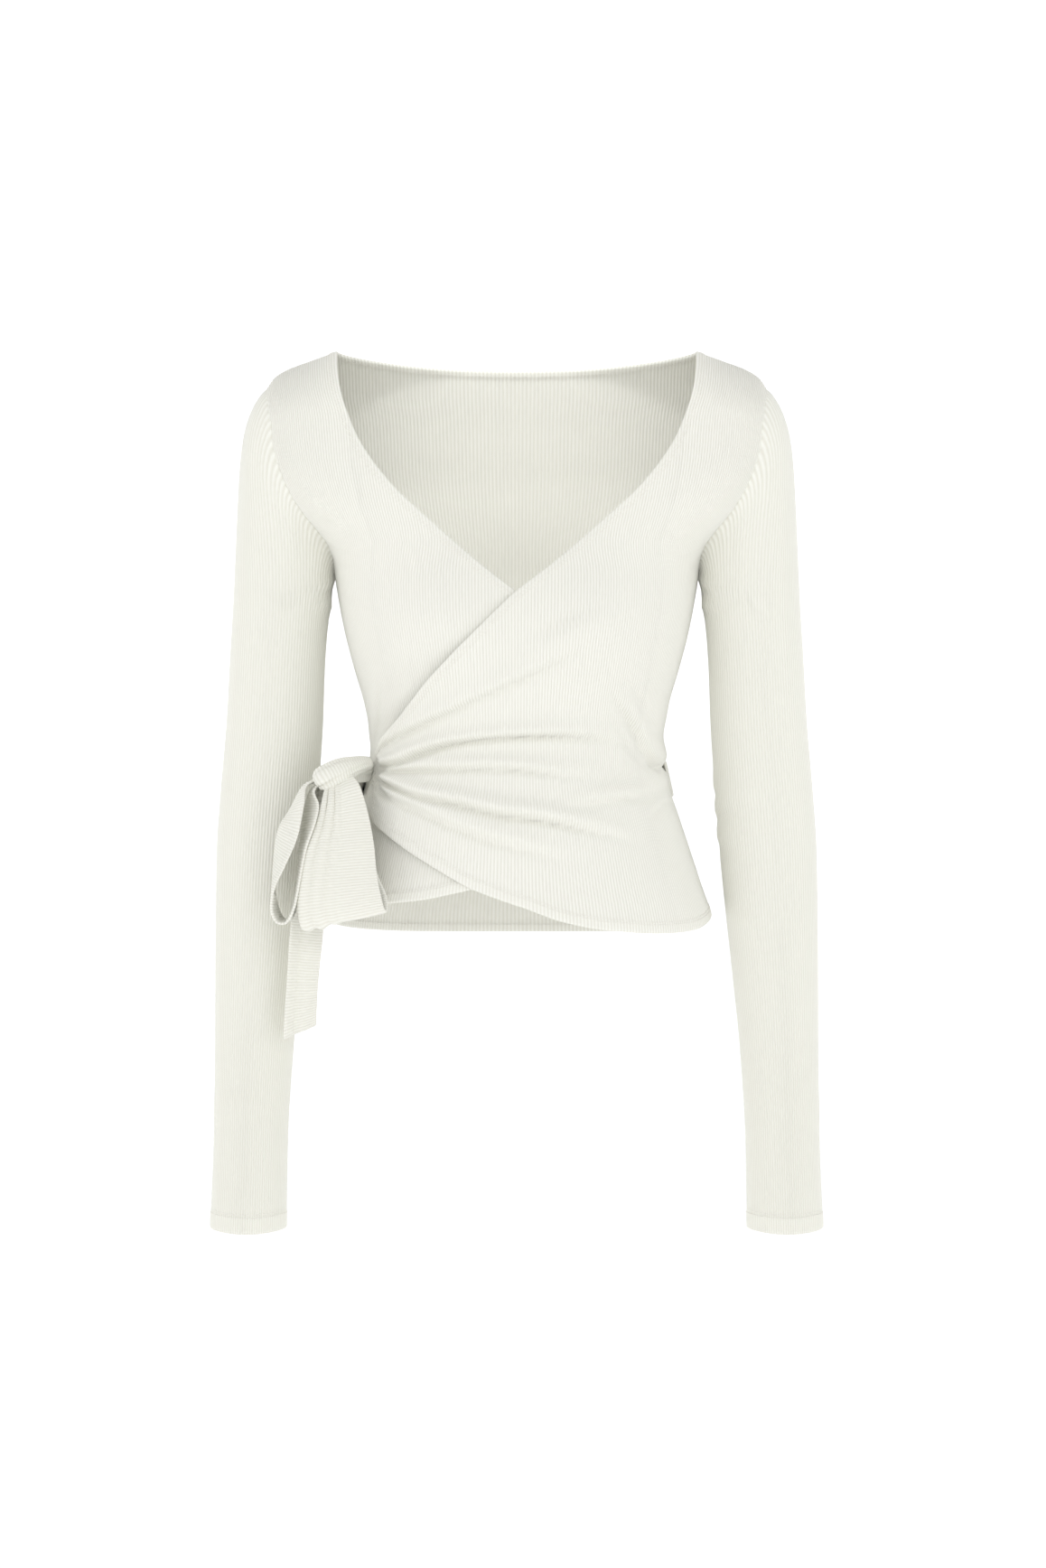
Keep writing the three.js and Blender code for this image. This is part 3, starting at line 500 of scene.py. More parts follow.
def cloth_mesh(name, points, normals, middle, half, rib, run, relief, closed=False, skip=None):
    """A closed wall of cloth as a Blender object: middle is its height over the points and half its half thickness.
    skip gives how many first rows and first columns are cut away at the grid's first corner."""
    rows, columns = points.shape[:2]
    outer = points + normals * (middle + half)[..., None]
    inner = points + normals * (middle - half)[..., None]
    vertices = np.concatenate([outer.reshape(-1, 3), inner.reshape(-1, 3)]) * MM
    index = np.arange(rows * columns).reshape(rows, columns)
    if closed:
        index = np.concatenate([index, index[:, :1]], axis=1)
    a, b, c, d = index[:-1, :-1], index[1:, :-1], index[1:, 1:], index[:-1, 1:]
    front = np.stack([a, b, c, d], -1)
    kept = np.ones(front.shape[:2], dtype=bool)
    if skip:
        kept[: skip[0], : skip[1]] = False
    front = front[kept]
    shift = rows * columns
    edges = np.concatenate([front[:, [k, (k + 1) % 4]] for k in range(4)])
    codes = edges[:, 0] * shift + edges[:, 1]
    rim = edges[~np.isin(codes, edges[:, 1] * shift + edges[:, 0])]
    quads = [front, front[:, ::-1] + shift, np.stack([rim[:, 1], rim[:, 0], rim[:, 0] + shift, rim[:, 1] + shift], -1)]
    quads = np.concatenate(quads)
    # Faces point outwards when the signed volume is positive.
    a, b, c, d = np.moveaxis(vertices[quads], 1, 0)
    if np.sum(np.cross(a, b) * c + np.cross(a, c) * d) < 0:
        quads = quads[:, ::-1]
    used, places = np.unique(quads.ravel(), return_inverse=True)
    sources, vertices, quads = quads, vertices[used], places.reshape(-1, 4)
    mesh = bpy.data.meshes.new(name)
    mesh.vertices.add(len(vertices))
    mesh.vertices.foreach_set("co", vertices.astype(np.float32).ravel())
    mesh.loops.add(quads.size)
    mesh.loops.foreach_set("vertex_index", quads.astype(np.int32).ravel())
    mesh.polygons.add(len(quads))
    mesh.polygons.foreach_set("loop_start", np.arange(0, quads.size, 4, dtype=np.int32))
    mesh.polygons.foreach_set("loop_total", np.full(len(quads), 4, dtype=np.int32))
    mesh.polygons.foreach_set("use_smooth", np.ones(len(quads), dtype=bool))
    for label, values in (("rib", rib), ("relief", relief)):
        both = np.tile(np.broadcast_to(values, (rows, columns)).ravel(), 2).astype(np.float32)[used]
        mesh.attributes.new(label, "FLOAT", "POINT").data.foreach_set("value", both)
    flat = np.stack(np.broadcast_arrays(rib, run, middle)[:2], -1).reshape(-1, 2)
    uv = mesh.uv_layers.new(name="knit")
    uv.data.foreach_set("uv", np.tile(flat, (2, 1))[sources.ravel()].astype(np.float32).ravel())
    mesh.update(calc_edges=True)
    mesh.validate()
    return add_object(name, mesh)


# ---- Node trees -----------------------------------------------------------------------------------------------------
class Tree:
    """Adds nodes to one tree."""

    def __init__(self, tree):
        self.tree = tree

    def add(self, kind, settings=None, inputs=None):
        """A node of that kind, with its settings made first and then the values or links of its sockets."""
        node = self.tree.nodes.new(kind)
        for name, value in (settings or {}).items():
            setattr(node, name, value)
        for key, value in (inputs or {}).items():
            link = value.socket if isinstance(value, Quantity) else value
            if isinstance(link, bpy.types.NodeSocket):
                self.tree.links.new(link, node.inputs[key])
            else:
                node.inputs[key].default_value = link
        return node


class Quantity:
    """A number that comes out of a socket, written in sums and products."""

    def __init__(self, tree, socket):
        self.tree, self.socket = tree, socket

    def calculate(self, operation, *others):
        values = dict(enumerate((self, *others)))
        node = self.tree.add("ShaderNodeMath", {"operation": operation}, values)
        return Quantity(self.tree, node.outputs[0])

    def __add__(self, other):
        return self.calculate("ADD", other)

    def __sub__(self, other):
        return self.calculate("SUBTRACT", other)

    def __rsub__(self, other):
        return self * -1 + other

    def __mul__(self, other):
        return self.calculate("MULTIPLY", other)

    __radd__ = __add__
    __rmul__ = __mul__

    def wave(self):
        """A cosine with one crest at each whole number, from 0 to 1."""
        return (self * math.tau).calculate("COSINE") * 0.5 + 0.5

    def from_half(self):
        """Distance from the middle of each whole step."""
        return (self.calculate("FRACT") - 0.5).calculate("ABSOLUTE")


def new_material(name):
    """An empty material and its tree."""
    material = bpy.data.materials.new(name)
    material.use_nodes = True
    material.node_tree.nodes.clear()
    return material, Tree(material.node_tree)


def close_material(tree, look):
    """Ends a material in one plain surface with that look."""
    surface = tree.add("ShaderNodeBsdfPrincipled", inputs=look)
    tree.add("ShaderNodeOutputMaterial", inputs={0: surface.outputs[0]})


VALLEY_PAINTED_SHADE = (0.80, 0.785, 0.74)  # painted shade deep between the ribs, as shares of the cloth's own colour


def knit_material(name, colour):
    """Fine rib knit: painted shade darkens its colour between the ribs, and the small loops of the stitches stand in
    relief.
    """
    material, tree = new_material(name)
    cloth = bpy.context.scene.wrap_top_cloth
    uv = tree.add("ShaderNodeUVMap", {"uv_map": "knit"})
    split = tree.add("ShaderNodeSeparateXYZ", inputs={0: uv.outputs[0]})
    rib, run = Quantity(tree, split.outputs[0]), Quantity(tree, split.outputs[1])
    crest = rib.wave()
    place = tree.add("ShaderNodeTexCoord")
    cloudy, fuzz = (
        tree.add("ShaderNodeTexNoise", inputs={"Vector": place.outputs["Object"], **looks})
        for looks in (
            {"Scale": 26.0, "Detail": 2.0, "Roughness": 0.5},
            {"Scale": 2200.0, "Detail": 1.0, "Roughness": 0.6},
        )
    )
    # Painted shade: the colour darkens in the valleys between the ribs, where shade falls.
    painted_rib_shade = (1 - crest) * cloth.valley_shade
    mottle = (Quantity(tree, cloudy.outputs[0]) - 0.5) * 0.035
    speck = (Quantity(tree, fuzz.outputs[0]) - 0.5) * 0.05
    # The colour of the painted shade deep between the ribs.
    deep = tuple(channel * shade for channel, shade in zip(colour, VALLEY_PAINTED_SHADE)) + (1.0,)
    mix = tree.add(
        "ShaderNodeMix",
        {"data_type": "RGBA"},
        {0: painted_rib_shade + mottle + speck + 0.04, 6: (*colour, 1.0), 7: deep},
    )
    loops = (run * (MM / cloth.course) + rib.from_half() * 0.8).wave()
    height = crest * 0.6 + loops * 0.25 + Quantity(tree, fuzz.outputs[0]) * 0.3
    relief = tree.add("ShaderNodeBump", inputs={"Strength": 0.55, "Distance": 0.00025, "Height": height})
    look = {"Base Color": mix.outputs[2], "Roughness": 0.93, "Specular IOR Level": 0.18}
    look.update({"Sheen Weight": 0.12, "Sheen Roughness": 0.6, "Normal": relief.outputs[0]})
    close_material(tree, look)
    return material


def thread_material(name, colour):
    """Sewing thread, a little glossier than the knit, twisted along its length."""
    material, tree = new_material(name)
    place = tree.add("ShaderNodeTexCoord")
    ply = tree.add("ShaderNodeTexNoise", inputs={"Vector": place.outputs["Object"], "Scale": 3000.0, "Detail": 1.0})
    twist = tree.add("ShaderNodeBump", inputs={"Strength": 0.4, "Distance": 0.0001, "Height": ply.outputs[0]})
    shade = Quantity(tree, ply.outputs[0]) * 0.2
    darker = tuple(channel * 0.85 for channel in colour) + (1.0,)
    mix = tree.add("ShaderNodeMix", {"data_type": "RGBA"}, {0: shade, 6: (*colour, 1.0), 7: darker})
    close_material(tree, {"Base Color": mix.outputs[2], "Roughness": 0.7, "Normal": twist.outputs[0]})
    return material


def new_geometry_tree(name, numbers):
    """A geometry tree with a Geometry socket, number sockets with defaults, and a Finish material socket."""
    group = bpy.data.node_groups.new(name, "GeometryNodeTree")
    group.interface.new_socket("Geometry", in_out="INPUT", socket_type="NodeSocketGeometry")
    for label, value in numbers.items():
        socket = group.interface.new_socket(label, in_out="INPUT", socket_type="NodeSocketFloat")
        socket.default_value = value
    group.interface.new_socket("Finish", in_out="INPUT", socket_type="NodeSocketMaterial")
    group.interface.new_socket("Geometry", in_out="OUTPUT", socket_type="NodeSocketGeometry")
    tree = Tree(group)
    return group, tree, tree.add("NodeGroupInput")


def close_tree(tree, given, geometry):
    """Realises the instances, gives them the finish and sends them out."""
    real = tree.add("GeometryNodeRealizeInstances", inputs={0: geometry})
    smoothed = tree.add("GeometryNodeSetShadeSmooth", inputs={0: real.outputs[0]})
    finish = {"Geometry": smoothed.outputs[0], "Material": given.outputs["Finish"]}
    painted = tree.add("GeometryNodeSetMaterial", inputs=finish)
    tree.add("NodeGroupOutput", inputs={0: painted.outputs[0]})


def rib_tree():
    """Raises the ribs: each point moves out along its normal by a wave of its rib number."""
    group, tree, given = new_geometry_tree("raise ribs", {"Rib height": 0.0004})
    number = tree.add("GeometryNodeInputNamedAttribute", {"data_type": "FLOAT"}, {"Name": "rib"})
    fade = tree.add("GeometryNodeInputNamedAttribute", {"data_type": "FLOAT"}, {"Name": "relief"})
    height = Quantity(tree, given.outputs["Rib height"])
    rise = Quantity(tree, number.outputs[0]).wave() * height * Quantity(tree, fade.outputs[0])
    normal = tree.add("GeometryNodeInputNormal")
    offset = tree.add("ShaderNodeVectorMath", {"operation": "SCALE"}, {0: normal.outputs[0], "Scale": rise})
    moved = tree.add("GeometryNodeSetPosition", inputs={0: given.outputs[0], "Offset": offset.outputs[0]})
    close_tree(tree, given, moved.outputs[0])
    return group


def stitch_tree():
    """Lays stitches along lines: a short fat thread at every step, turned along the line."""
    numbers = {"Stitch step": 0.0028, "Stitch length": 0.0022, "Thread radius": 0.0003}
    group, tree, given = new_geometry_tree("sew stitches", numbers)
    curve = tree.add("GeometryNodeMeshToCurve", inputs={0: given.outputs[0]})
    step = given.outputs["Stitch step"]
    spaced = tree.add("GeometryNodeResampleCurve", {"mode": "LENGTH"}, {"Curve": curve.outputs[0], "Length": step})
    thread = tree.add("GeometryNodeMeshUVSphere", inputs={"Segments": 6, "Rings": 5, "Radius": 1.0})
    radius = given.outputs["Thread radius"]
    half = Quantity(tree, given.outputs["Stitch length"]) * 0.5
    size = tree.add("ShaderNodeCombineXYZ", inputs={0: radius, 1: radius, 2: half})
    tangent = tree.add("GeometryNodeInputTangent")
    turned = tree.add("FunctionNodeAlignRotationToVector", {"axis": "Z"}, {"Vector": tangent.outputs[0]})
    sewn = tree.add(
        "GeometryNodeInstanceOnPoints",
        inputs={
            "Points": spaced.outputs[0],
            "Instance": thread.outputs[0],
            "Rotation": turned.outputs[0],
            "Scale": size.outputs[0],
        },
    )
    close_tree(tree, given, sewn.outputs[0])
    return group


def thread_tree():
    """Lays one thread along lines, as a thin tube."""
    group, tree, given = new_geometry_tree("lay thread", {"Thread radius": 0.0003})
    curve = tree.add("GeometryNodeMeshToCurve", inputs={0: given.outputs[0]})
    section = tree.add("GeometryNodeCurvePrimitiveCircle", inputs={"Resolution": 5, "Radius": 1.0})
    size = {0: section.outputs[0], "Scale": given.outputs["Thread radius"]}
    slim = tree.add("GeometryNodeTransform", inputs=size)
    tube = tree.add(
        "GeometryNodeCurveToMesh",
        inputs={"Curve": curve.outputs[0], "Profile Curve": slim.outputs[0], "Fill Caps": True},
    )
    close_tree(tree, given, tube.outputs[0])
    return group


def made_by(obj, group, numbers, finish):
    """Runs a geometry tree on an object and leaves its result as a plain mesh under the same name."""
    modifier = obj.modifiers.new("made", "NODES")
    modifier.node_group = group
    wanted = {**numbers, "Finish": finish}
    for item in group.interface.items_tree:
        if item.item_type == "SOCKET" and item.in_out == "INPUT" and item.name in wanted:
            modifier[item.identifier] = wanted[item.name]
    bpy.context.view_layer.update()
    seen = obj.evaluated_get(bpy.context.evaluated_depsgraph_get())
    mesh = bpy.data.meshes.new_from_object(seen)
    obj.modifiers.clear()
    mesh.name = obj.name
    obj.data = mesh
    if not mesh.materials:
        mesh.materials.append(finish)
    return obj


def own_tree(maker):
    """The tree that a maker builds, made once."""
    made = own_tree.made
    if maker not in made:
        made[maker] = maker()
    return made[maker]


own_tree.made = {}


def own_finish(label):
    """One of the top's finishes, made once."""
    made = own_finish.made
    if label not in made:
        colours = bpy.context.scene.wrap_top_colours
        make = thread_material if label == "thread" else knit_material
        made[label] = make(f"{label}_finish", tuple(getattr(colours, label)))
    return made[label]


own_finish.made = {}


def finish_piece(obj, label, rib_scale=1.0):
    """Raises the ribs of a piece of cloth and gives it its finish."""
    height = bpy.context.scene.wrap_top_cloth.rib_height * rib_scale
    return made_by(obj, own_tree(rib_tree), {"Rib height": height}, own_finish(label))


def stands_for(obj, node):
    """The piece rides on the one body in place of its plain solid."""
    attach(obj, "root")
    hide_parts(node)


# ---- Panels ---------------------------------------------------------------------------------------------------------
SEWN_LINES = {"twin": [], "zigzag": []}  # lines for the stitches, filled as the panels are made
STITCH_SHARE = 0.82  # of each step that its stitch takes up
CROSSING_REACH, CROSSING_STEP = 0.9, 1.3  # of the threads behind: out from their line, and along it for each stroke
CROSSING_THREAD_SHARE = 0.6  # of a stitch's thickness
LINE_LIFT = 0.6  # share of a rib's height at which stitches lie
STITCH_DIP = 0.25  # how far the stitching draws the turned edge in
EDGE_ROUND = 0.9  # over this width a wall rounds off to its rim


def panel(name, place, t, z, run, side, lift, ribs, corner):
    """One panel with its ribs running down it and turned edges at the neck and hem.
    place gives the form at t and z; corner is the row and column at which the neck edge turns up to the shoulder."""
    cloth = bpy.context.scene.wrap_top_cloth
    thick = cloth.thickness / MM

    def lifted(t, z):
        base = place(t, z)
        sewn_flat = smooth(1 - np.abs(t), 0.012, 0.07)
        height = lift(base, side) * sewn_flat + waist_notch(base[..., 0], base[..., 2])
        return base + form_normals(place, t, z) * height[..., None]

    across = np.broadcast_to(t, z.shape)
    points = lifted(across, z)
    normals = form_normals(lifted, across, z)
    row, low, high = corner
    neck = np.concatenate([points[row, low : high + 1], points[:row, high][::-1]])
    near_top, near_foot = slice(0, row + 22), slice(-18, None)
    from_neck, from_foot, from_shoulder = (np.full(z.shape, FAR_AWAY) for _ in range(3))
    from_neck[near_top] = distance_to(neck, points[near_top])
    from_foot[near_foot] = distance_to(points[-1], points[near_foot])
    shoulders = [slice(high, None)] + ([slice(None, low + 1)] if low else [])
    for part in shoulders:
        seam = points[0, part]
        from_shoulder[near_top, part] = distance_to(seam, points[near_top, part])
        direction = shoulder_seam_direction(seam)
        normals[near_top, part] = leaned(normals[near_top, part], direction, from_shoulder[near_top, part])
    for column in (0, -1):
        if abs(abs(t[column]) - 1) < 1e-6:
            direction = seam_direction(points[:, column], np.sign(points[-1, column, 0]))
            distance = np.linalg.norm(points - points[:, column][:, None], axis=2)
            normals = leaned(normals, direction[:, None], distance)
    turned = 1 - smooth(np.minimum(from_neck - NECK_TURNING, from_foot - HEM_TURNING), -0.6, 0.6)
    edge = np.minimum(from_neck, from_foot)
    rounding = rounded(edge, 0.4, EDGE_ROUND)
    sewn_in = STITCH_DIP * (bump(from_neck - NECK_TURNING + 0.6, 0.7) + bump(from_foot - HEM_TURNING + 0.6, 0.7))
    seam_run = np.minimum((1 - np.abs(t)) * PANEL_HALF_RUN, from_shoulder)
    seam = 1 - 0.5 * bump(seam_run, 1.0)
    half = (thick / 2 + cloth.turning / MM * turned - sewn_in) * rounding * seam
    middle = np.full(z.shape, -thick / 2)
    relief = np.clip(edge / 1.2, 0.25, 1) * (1 - 0.3 * turned)
    rib = (t + 1) / 2 * ribs
    cut_away = (row, high if row else 0)
    obj = cloth_mesh(name, points, normals, middle, half, rib, run, relief, skip=cut_away)
    outer = points + normals * (middle + half)[..., None]
    inner = points + normals * (middle - half)[..., None]
    rise = cloth.rib_height / MM * LINE_LIFT
    for kind, face, facing, count in (("twin", outer, normals, 2), ("zigzag", inner, -normals, 1)):
        for level in NECK_STITCH_ROWS[:count]:
            keep_line(kind, *sewn_line(from_neck, level, (face, facing), row, low, high), rise)
        for level in HEM_STITCH_ROWS[:count]:
            upside_down = (face[::-1], facing[::-1])
            keep_line(kind, *sewn_line(from_foot[::-1], level, upside_down, 0, 0, len(t) - 1), rise)
    finish_piece(obj, "body")
    return obj


def sewn_line(distance, level, grids, row, low, high):
    """The line at one distance from an edge: across the columns and then up the rows beside the corner."""
    picked = []

    def crossing(far, columns_of):
        k = int(np.argmax(far > level))
        if k > 0:
            share = (level - far[k - 1]) / (far[k] - far[k - 1])
            picked.append([g[k - 1] * (1 - share) + g[k] * share for g in columns_of])

    for j in range(low, distance.shape[1]):
        if j > high and distance[row, j] > level:
            break
        crossing(distance[row:, j], [g[row:, j] for g in grids])
    for i in range(row - 1, -1, -1):
        crossing(distance[i, high:], [g[i, high:] for g in grids])
    line, away = np.swapaxes(np.array(picked), 0, 1)
    return line, unit(away)


def rib_columns(low, high, ribs):
    """Places across a panel, SAMPLES_PER_RIB to a rib."""
    count = int(round((high - low) / 2 * ribs * SAMPLES_PER_RIB)) + 1
    return np.linspace(low, high, count)


def keep_line(kind, line, normals, rise):
    """Stores a line for stitches, standing just above the cloth."""
    SEWN_LINES[kind].append((line + normals * rise) * MM)


# Close to the neck point the front's edge runs along its ribs: from this height up, one rib follows it.
CORNER_Z = -44.0
WAIST_CROWDING = 2.2  # how much closer rows stand at the waist creases
SHOULDER_ROWS = 12
wrap_points = path_of(WRAP_EDGE)(np.linspace(0, 1, EDGE_SAMPLES))
wrap_across = across_of(wrap_points[:, 0], wrap_points[:, 1])
CORNER_ACROSS = float(np.interp(CORNER_Z, wrap_points[:, 1], wrap_across))
CORNER_TREND = float(np.interp(CORNER_Z + 1, wrap_points[:, 1], wrap_across)) - CORNER_ACROSS


def rib_drift(t, z):
    """How far ribs drift sideways near the neck edge, so that one of them lies along it."""
    above = np.interp(z, wrap_points[:, 1], wrap_across) - CORNER_ACROSS
    under = np.minimum(z - CORNER_Z, 0)
    shift = np.where(z >= CORNER_Z, above, CORNER_TREND * under * np.exp(under / 25))
    return shift * (1 - smooth(np.abs(t - CORNER_ACROSS), 0, 0.3))


def make_front(name, node, side, hem, lift, rows):
    """One front, which is drawn with its side seam at +X and mirrored by side."""
    ribs = bpy.context.scene.wrap_top_cloth.front_ribs

    def place(t, z):
        return on_form(t + rib_drift(t, z), z, -1) * [side, 1, 1]

    own = wrap_across.copy()
    for _ in range(8):
        own = wrap_across - rib_drift(own, wrap_points[:, 1])
    below = wrap_points[:, 1] <= CORNER_Z
    left = rib_columns(float(own[0]), CORNER_ACROSS, ribs)
    t = np.concatenate([left, rib_columns(CORNER_ACROSS, 1.0, ribs)[1:]])
    corner = len(left) - 1
    wrap = np.interp(t, np.maximum.accumulate(own[below]), wrap_points[below, 1])
    start = np.where(t < CORNER_ACROSS, wrap, CORNER_Z)
    foot = np.minimum(edge_height([WRAP_EDGE[0], *hem], 1.0)(t), start - 0.5)
    z, run = down_the_ribs(place, t, start, foot, NECK_STEPS, HEM_STEPS, rows, WAIST_CROWDING, corner)
    shoulder = np.zeros_like(t)
    for _ in range(8):
        x = np.abs(place(t, shoulder)[..., 0])
        shoulder = shoulder_line(np.maximum(x, NECK_HALF))
    shoulder = np.where(t < CORNER_ACROSS, CORNER_Z + 1, shoulder)
    upper, upper_run = down_the_ribs(place, t, shoulder, start, SHOULDER_STEPS, SHOULDER_STEPS[:1], SHOULDER_ROWS)
    upper = np.where(t < CORNER_ACROSS, start, upper)
    z = np.concatenate([upper[:-1], z])
    run = np.concatenate([upper_run[:-1] - upper_run[-1], run])
    obj = panel(name, place, t, z, run, side, lift, ribs, (len(upper) - 1, 0, corner))
    stands_for(obj, node)
    return obj


# ---- Sleeves --------------------------------------------------------------------------------------------------------
sleeve_outer = profile([
    (-148, 205), (-179, 206.3), (-271, 211.8), (-337, 217.3), (-377, 219.3), (-470, 219.7), (-535, 219.7),
    (-601, 221), (CUFF_Z, 222.6),
])
sleeve_inner = profile([
    (-179, 136), (-205, 139), (-245, 141.3), (-284, 143), (-324, 146), (-364, 149), (-403, 152.7), (-430, 155.8),
    (-469, 159.5), (-509, 163.5), (-535, 166), (-575, 167.4), (CUFF_Z, 168.3),
])
sleeve_middle_y = profile([(-28, 2), (-150, 3), (-330, 8), (-450, 2), (CUFF_Z, -10)])
sleeve_depth = profile([(-28, 50), (-110, 42), (-180, 38), (-330, 36), (-450, 33), (-535, 30), (CUFF_Z, 29)])
CAP_RINGS = [
    (TIP_X, TIP_Z, UNDERARM_X, UNDERARM_Z, 0), (188, -34, 133.6, -164.4, 0.12), (194.5, -46.5, 134.2, -167, 0.3),
    (199, -62, 134.8, -170.5, 0.5), (201.8, -85, 135.4, -175, 0.7), (203.5, -115, 136.4, -182, 0.85),
    (205, -148, 137.7, -193, 0.95), (206.5, -182, 139.3, -207, 1), (209, -222, 141, -232, 1),
]
ARM_X = 178.0  # the arm's middle
ARM_RINGS = (-272, -322, -365, -408, -455, -510, -575, CUFF_Z)  # heights of the level rings below the cap
CUFF_DIP = 2.5
CAP_STEPS = np.array([0, 0.7, 1.6, 3.2, 6])  # distances in from the armhole
CUFF_STEPS = np.array([0, 0.4, 1.0, 3, 6, 9, 10.6, 11.6, 12.6, 14, 17])  # distances in from the cuff
CUFF_STITCH_ROWS = (7, 9)  # the steps from the cuff at which its stitches lie
SLEEVE_ROWS = 72
RIBS_EVEN_AT = 8  # the ring from which ribs are evenly spread round the arm
# Where each rib of the arm meets the armhole, as angles round from the top.
rib_at_armhole = profile([(0, 0), (54, 20), (78, 58), (90, 82), (105, 101), (120, 114), (145, 138), (180, 180)])
# Creases: height down the sleeve, angle of the middle, half the angle they span, ridge, trough, half width, tilt
SLEEVE_CREASES = [
    (-176, 150, 60, 1.6, 1.4, 5.5, 10), (-192, 168, 50, 1.3, 1.1, 6, -6), (-322, 205, 60, 1.2, 1.0, 8, 6),
    (-340, 165, 60, 1.3, 1.1, 8, -6), (-362, 190, 70, 1.0, 0.9, 9, 4), (-560, 60, 60, 0.7, 0.5, 9, 5),
]


def sleeve_rings(place):
    """Top x, top z, low x, low z and share of plain ring at places down the sleeve, one to each ring."""
    arm = [(float(sleeve_outer(z)), z, float(sleeve_inner(z)), z, 1.0) for z in ARM_RINGS]
    rings = np.array(CAP_RINGS + arm, float)
    index = np.arange(len(rings), dtype=float)
    return np.stack([profile(list(zip(index, rings[:, k])))(place) for k in range(5)], axis=-1)


def plain_ring(rings, angle):
    """Points of tilted rings round the arm, before the cap is fitted to the armhole."""
    swing = (1 + np.cos(angle)) / 2
    middle = (rings[..., 1] + rings[..., 3]) / 2
    x = rings[..., 2] + (rings[..., 0] - rings[..., 2]) * swing
    z = rings[..., 3] + (rings[..., 1] - rings[..., 3]) * swing
    y = sleeve_middle_y(middle) - sleeve_depth(middle) * np.sin(angle)
    return np.stack([x, y, z], axis=-1)


def on_sleeve(place, angle):
    """Points of the sleeve. place counts rings down from the armhole; angle goes round from the top by the front."""
    rings = sleeve_rings(place)
    point = plain_ring(rings, angle)
    height = TIP_Z + (UNDERARM_Z - TIP_Z) * (1 - np.cos(angle)) / 2
    front, back = on_form(np.ones_like(height), height, -1), on_form(np.ones_like(height), height, 1)
    is_front = (np.sin(angle) > 0)[..., None]
    sewn = np.where(is_front, front, back)
    first = plain_ring(np.broadcast_to(np.array(CAP_RINGS[0], float), rings.shape), angle)
    point = point + (sewn - first) * (1 - rings[..., 4])[..., None]
    near_cuff = smooth(point[..., 2], CUFF_Z + 40, CUFF_Z)
    point[..., 2] -= CUFF_DIP * np.sin(angle) ** 2 * near_cuff
    return point


def make_sleeve(name, node, side):
    """One sleeve, with its ribs running down the arm."""
    cloth = bpy.context.scene.wrap_top_cloth
    columns = cloth.sleeve_ribs * SAMPLES_PER_RIB
    own = np.arange(columns) / columns * math.tau
    folded = np.degrees(np.where(own > math.pi, math.tau - own, own))
    at_cap = np.radians(rib_at_armhole(folded))
    at_cap = np.where(own > math.pi, math.tau - at_cap, at_cap)
    fine = np.linspace(0, len(CAP_RINGS) + len(ARM_RINGS) - 1, 400)[:, None]
    angle = at_cap + (own - at_cap) * smooth(fine, 0, RIBS_EVEN_AT)
    points = on_sleeve(np.broadcast_to(fine, angle.shape), angle)
    run = run_along(points)
    total = run[-1]
    start = CAP_STEPS[:, None] * np.ones(columns)
    share = np.linspace(0, 1, SLEEVE_ROWS + 2)[1:-1, None]
    middle_run = start[-1] + (total - CUFF_STEPS[-1] - start[-1]) * share
    wanted = np.concatenate([start, middle_run, (total - CUFF_STEPS[:, None])[::-1]])
    place = np.stack([np.interp(wanted[:, j], run[:, j], fine[:, 0]) for j in range(columns)], axis=1)
    angle = at_cap + (own - at_cap) * smooth(place, 0, RIBS_EVEN_AT)
    points = on_sleeve(place, angle)
    degrees = np.degrees(angle)
    lift = np.zeros(place.shape)
    for height, middle_angle, spread, ridge, trough, wide, tilt in SLEEVE_CREASES:
        off = points[..., 2] - height - tilt * (degrees - middle_angle) / 60
        ends = bump(degrees - middle_angle, spread)
        lift += ends * (ridge * bump(off - wide, wide) - trough * bump(off, 0.45 * wide))
    points[..., 0] *= side

    def outward(p):
        return (p - [side * ARM_X, 3.0, 0.0]) * [1, 1, 0]

    points = points + grid_normals(points, outward, closed=True) * lift[..., None]
    normals = grid_normals(points, outward, closed=True)
    normals = leaned(normals, seam_direction(points[0], side, closed=True)[None], wanted)
    from_cuff = total - wanted
    turned = 1 - smooth(from_cuff, CUFF_TURNING - 0.5, CUFF_TURNING + 0.7)
    rounding = rounded(from_cuff, 0.45) * (1 - 0.45 * bump(wanted, 1.0))
    thick = cloth.thickness / MM
    half = (thick / 2 + cloth.turning / MM * turned - 0.2 * bump(from_cuff - CUFF_TURNING, 0.7)) * rounding
    middle = -thick / 2 * np.ones_like(half)
    relief = np.clip(from_cuff / 1.2, 0.25, 1) * (1 - 0.35 * turned)
    rib = np.arange(columns) / SAMPLES_PER_RIB
    obj = cloth_mesh(name, points, normals, middle, half, rib, wanted, relief, closed=True)
    outer = points + normals * (middle + half)[..., None]
    rise = cloth.rib_height / MM * LINE_LIFT
    for row in CUFF_STITCH_ROWS:
        ring = np.arange(columns + 1) % columns
        keep_line("twin", outer[-1 - row, ring], normals[-1 - row, ring], rise)
    finish_piece(obj, "sleeve")
    stands_for(obj, node)
    return obj


# ---- Ties and bow ---------------------------------------------------------------------------------------------------
TIE_RIB_PITCH, TIE_THICKNESS = 2.05, 1.5


def rib_places(centre):
    """Even places along a finely drawn line, SAMPLES_PER_RIB to each rib laid across it, as shares of the line."""
    run = run_along(centre)
    count = max(4, int(round(run[-1] / TIE_RIB_PITCH))) * SAMPLES_PER_RIB + 1
    return np.interp(np.linspace(0, run[-1], count), run, np.linspace(0, 1, len(centre)))


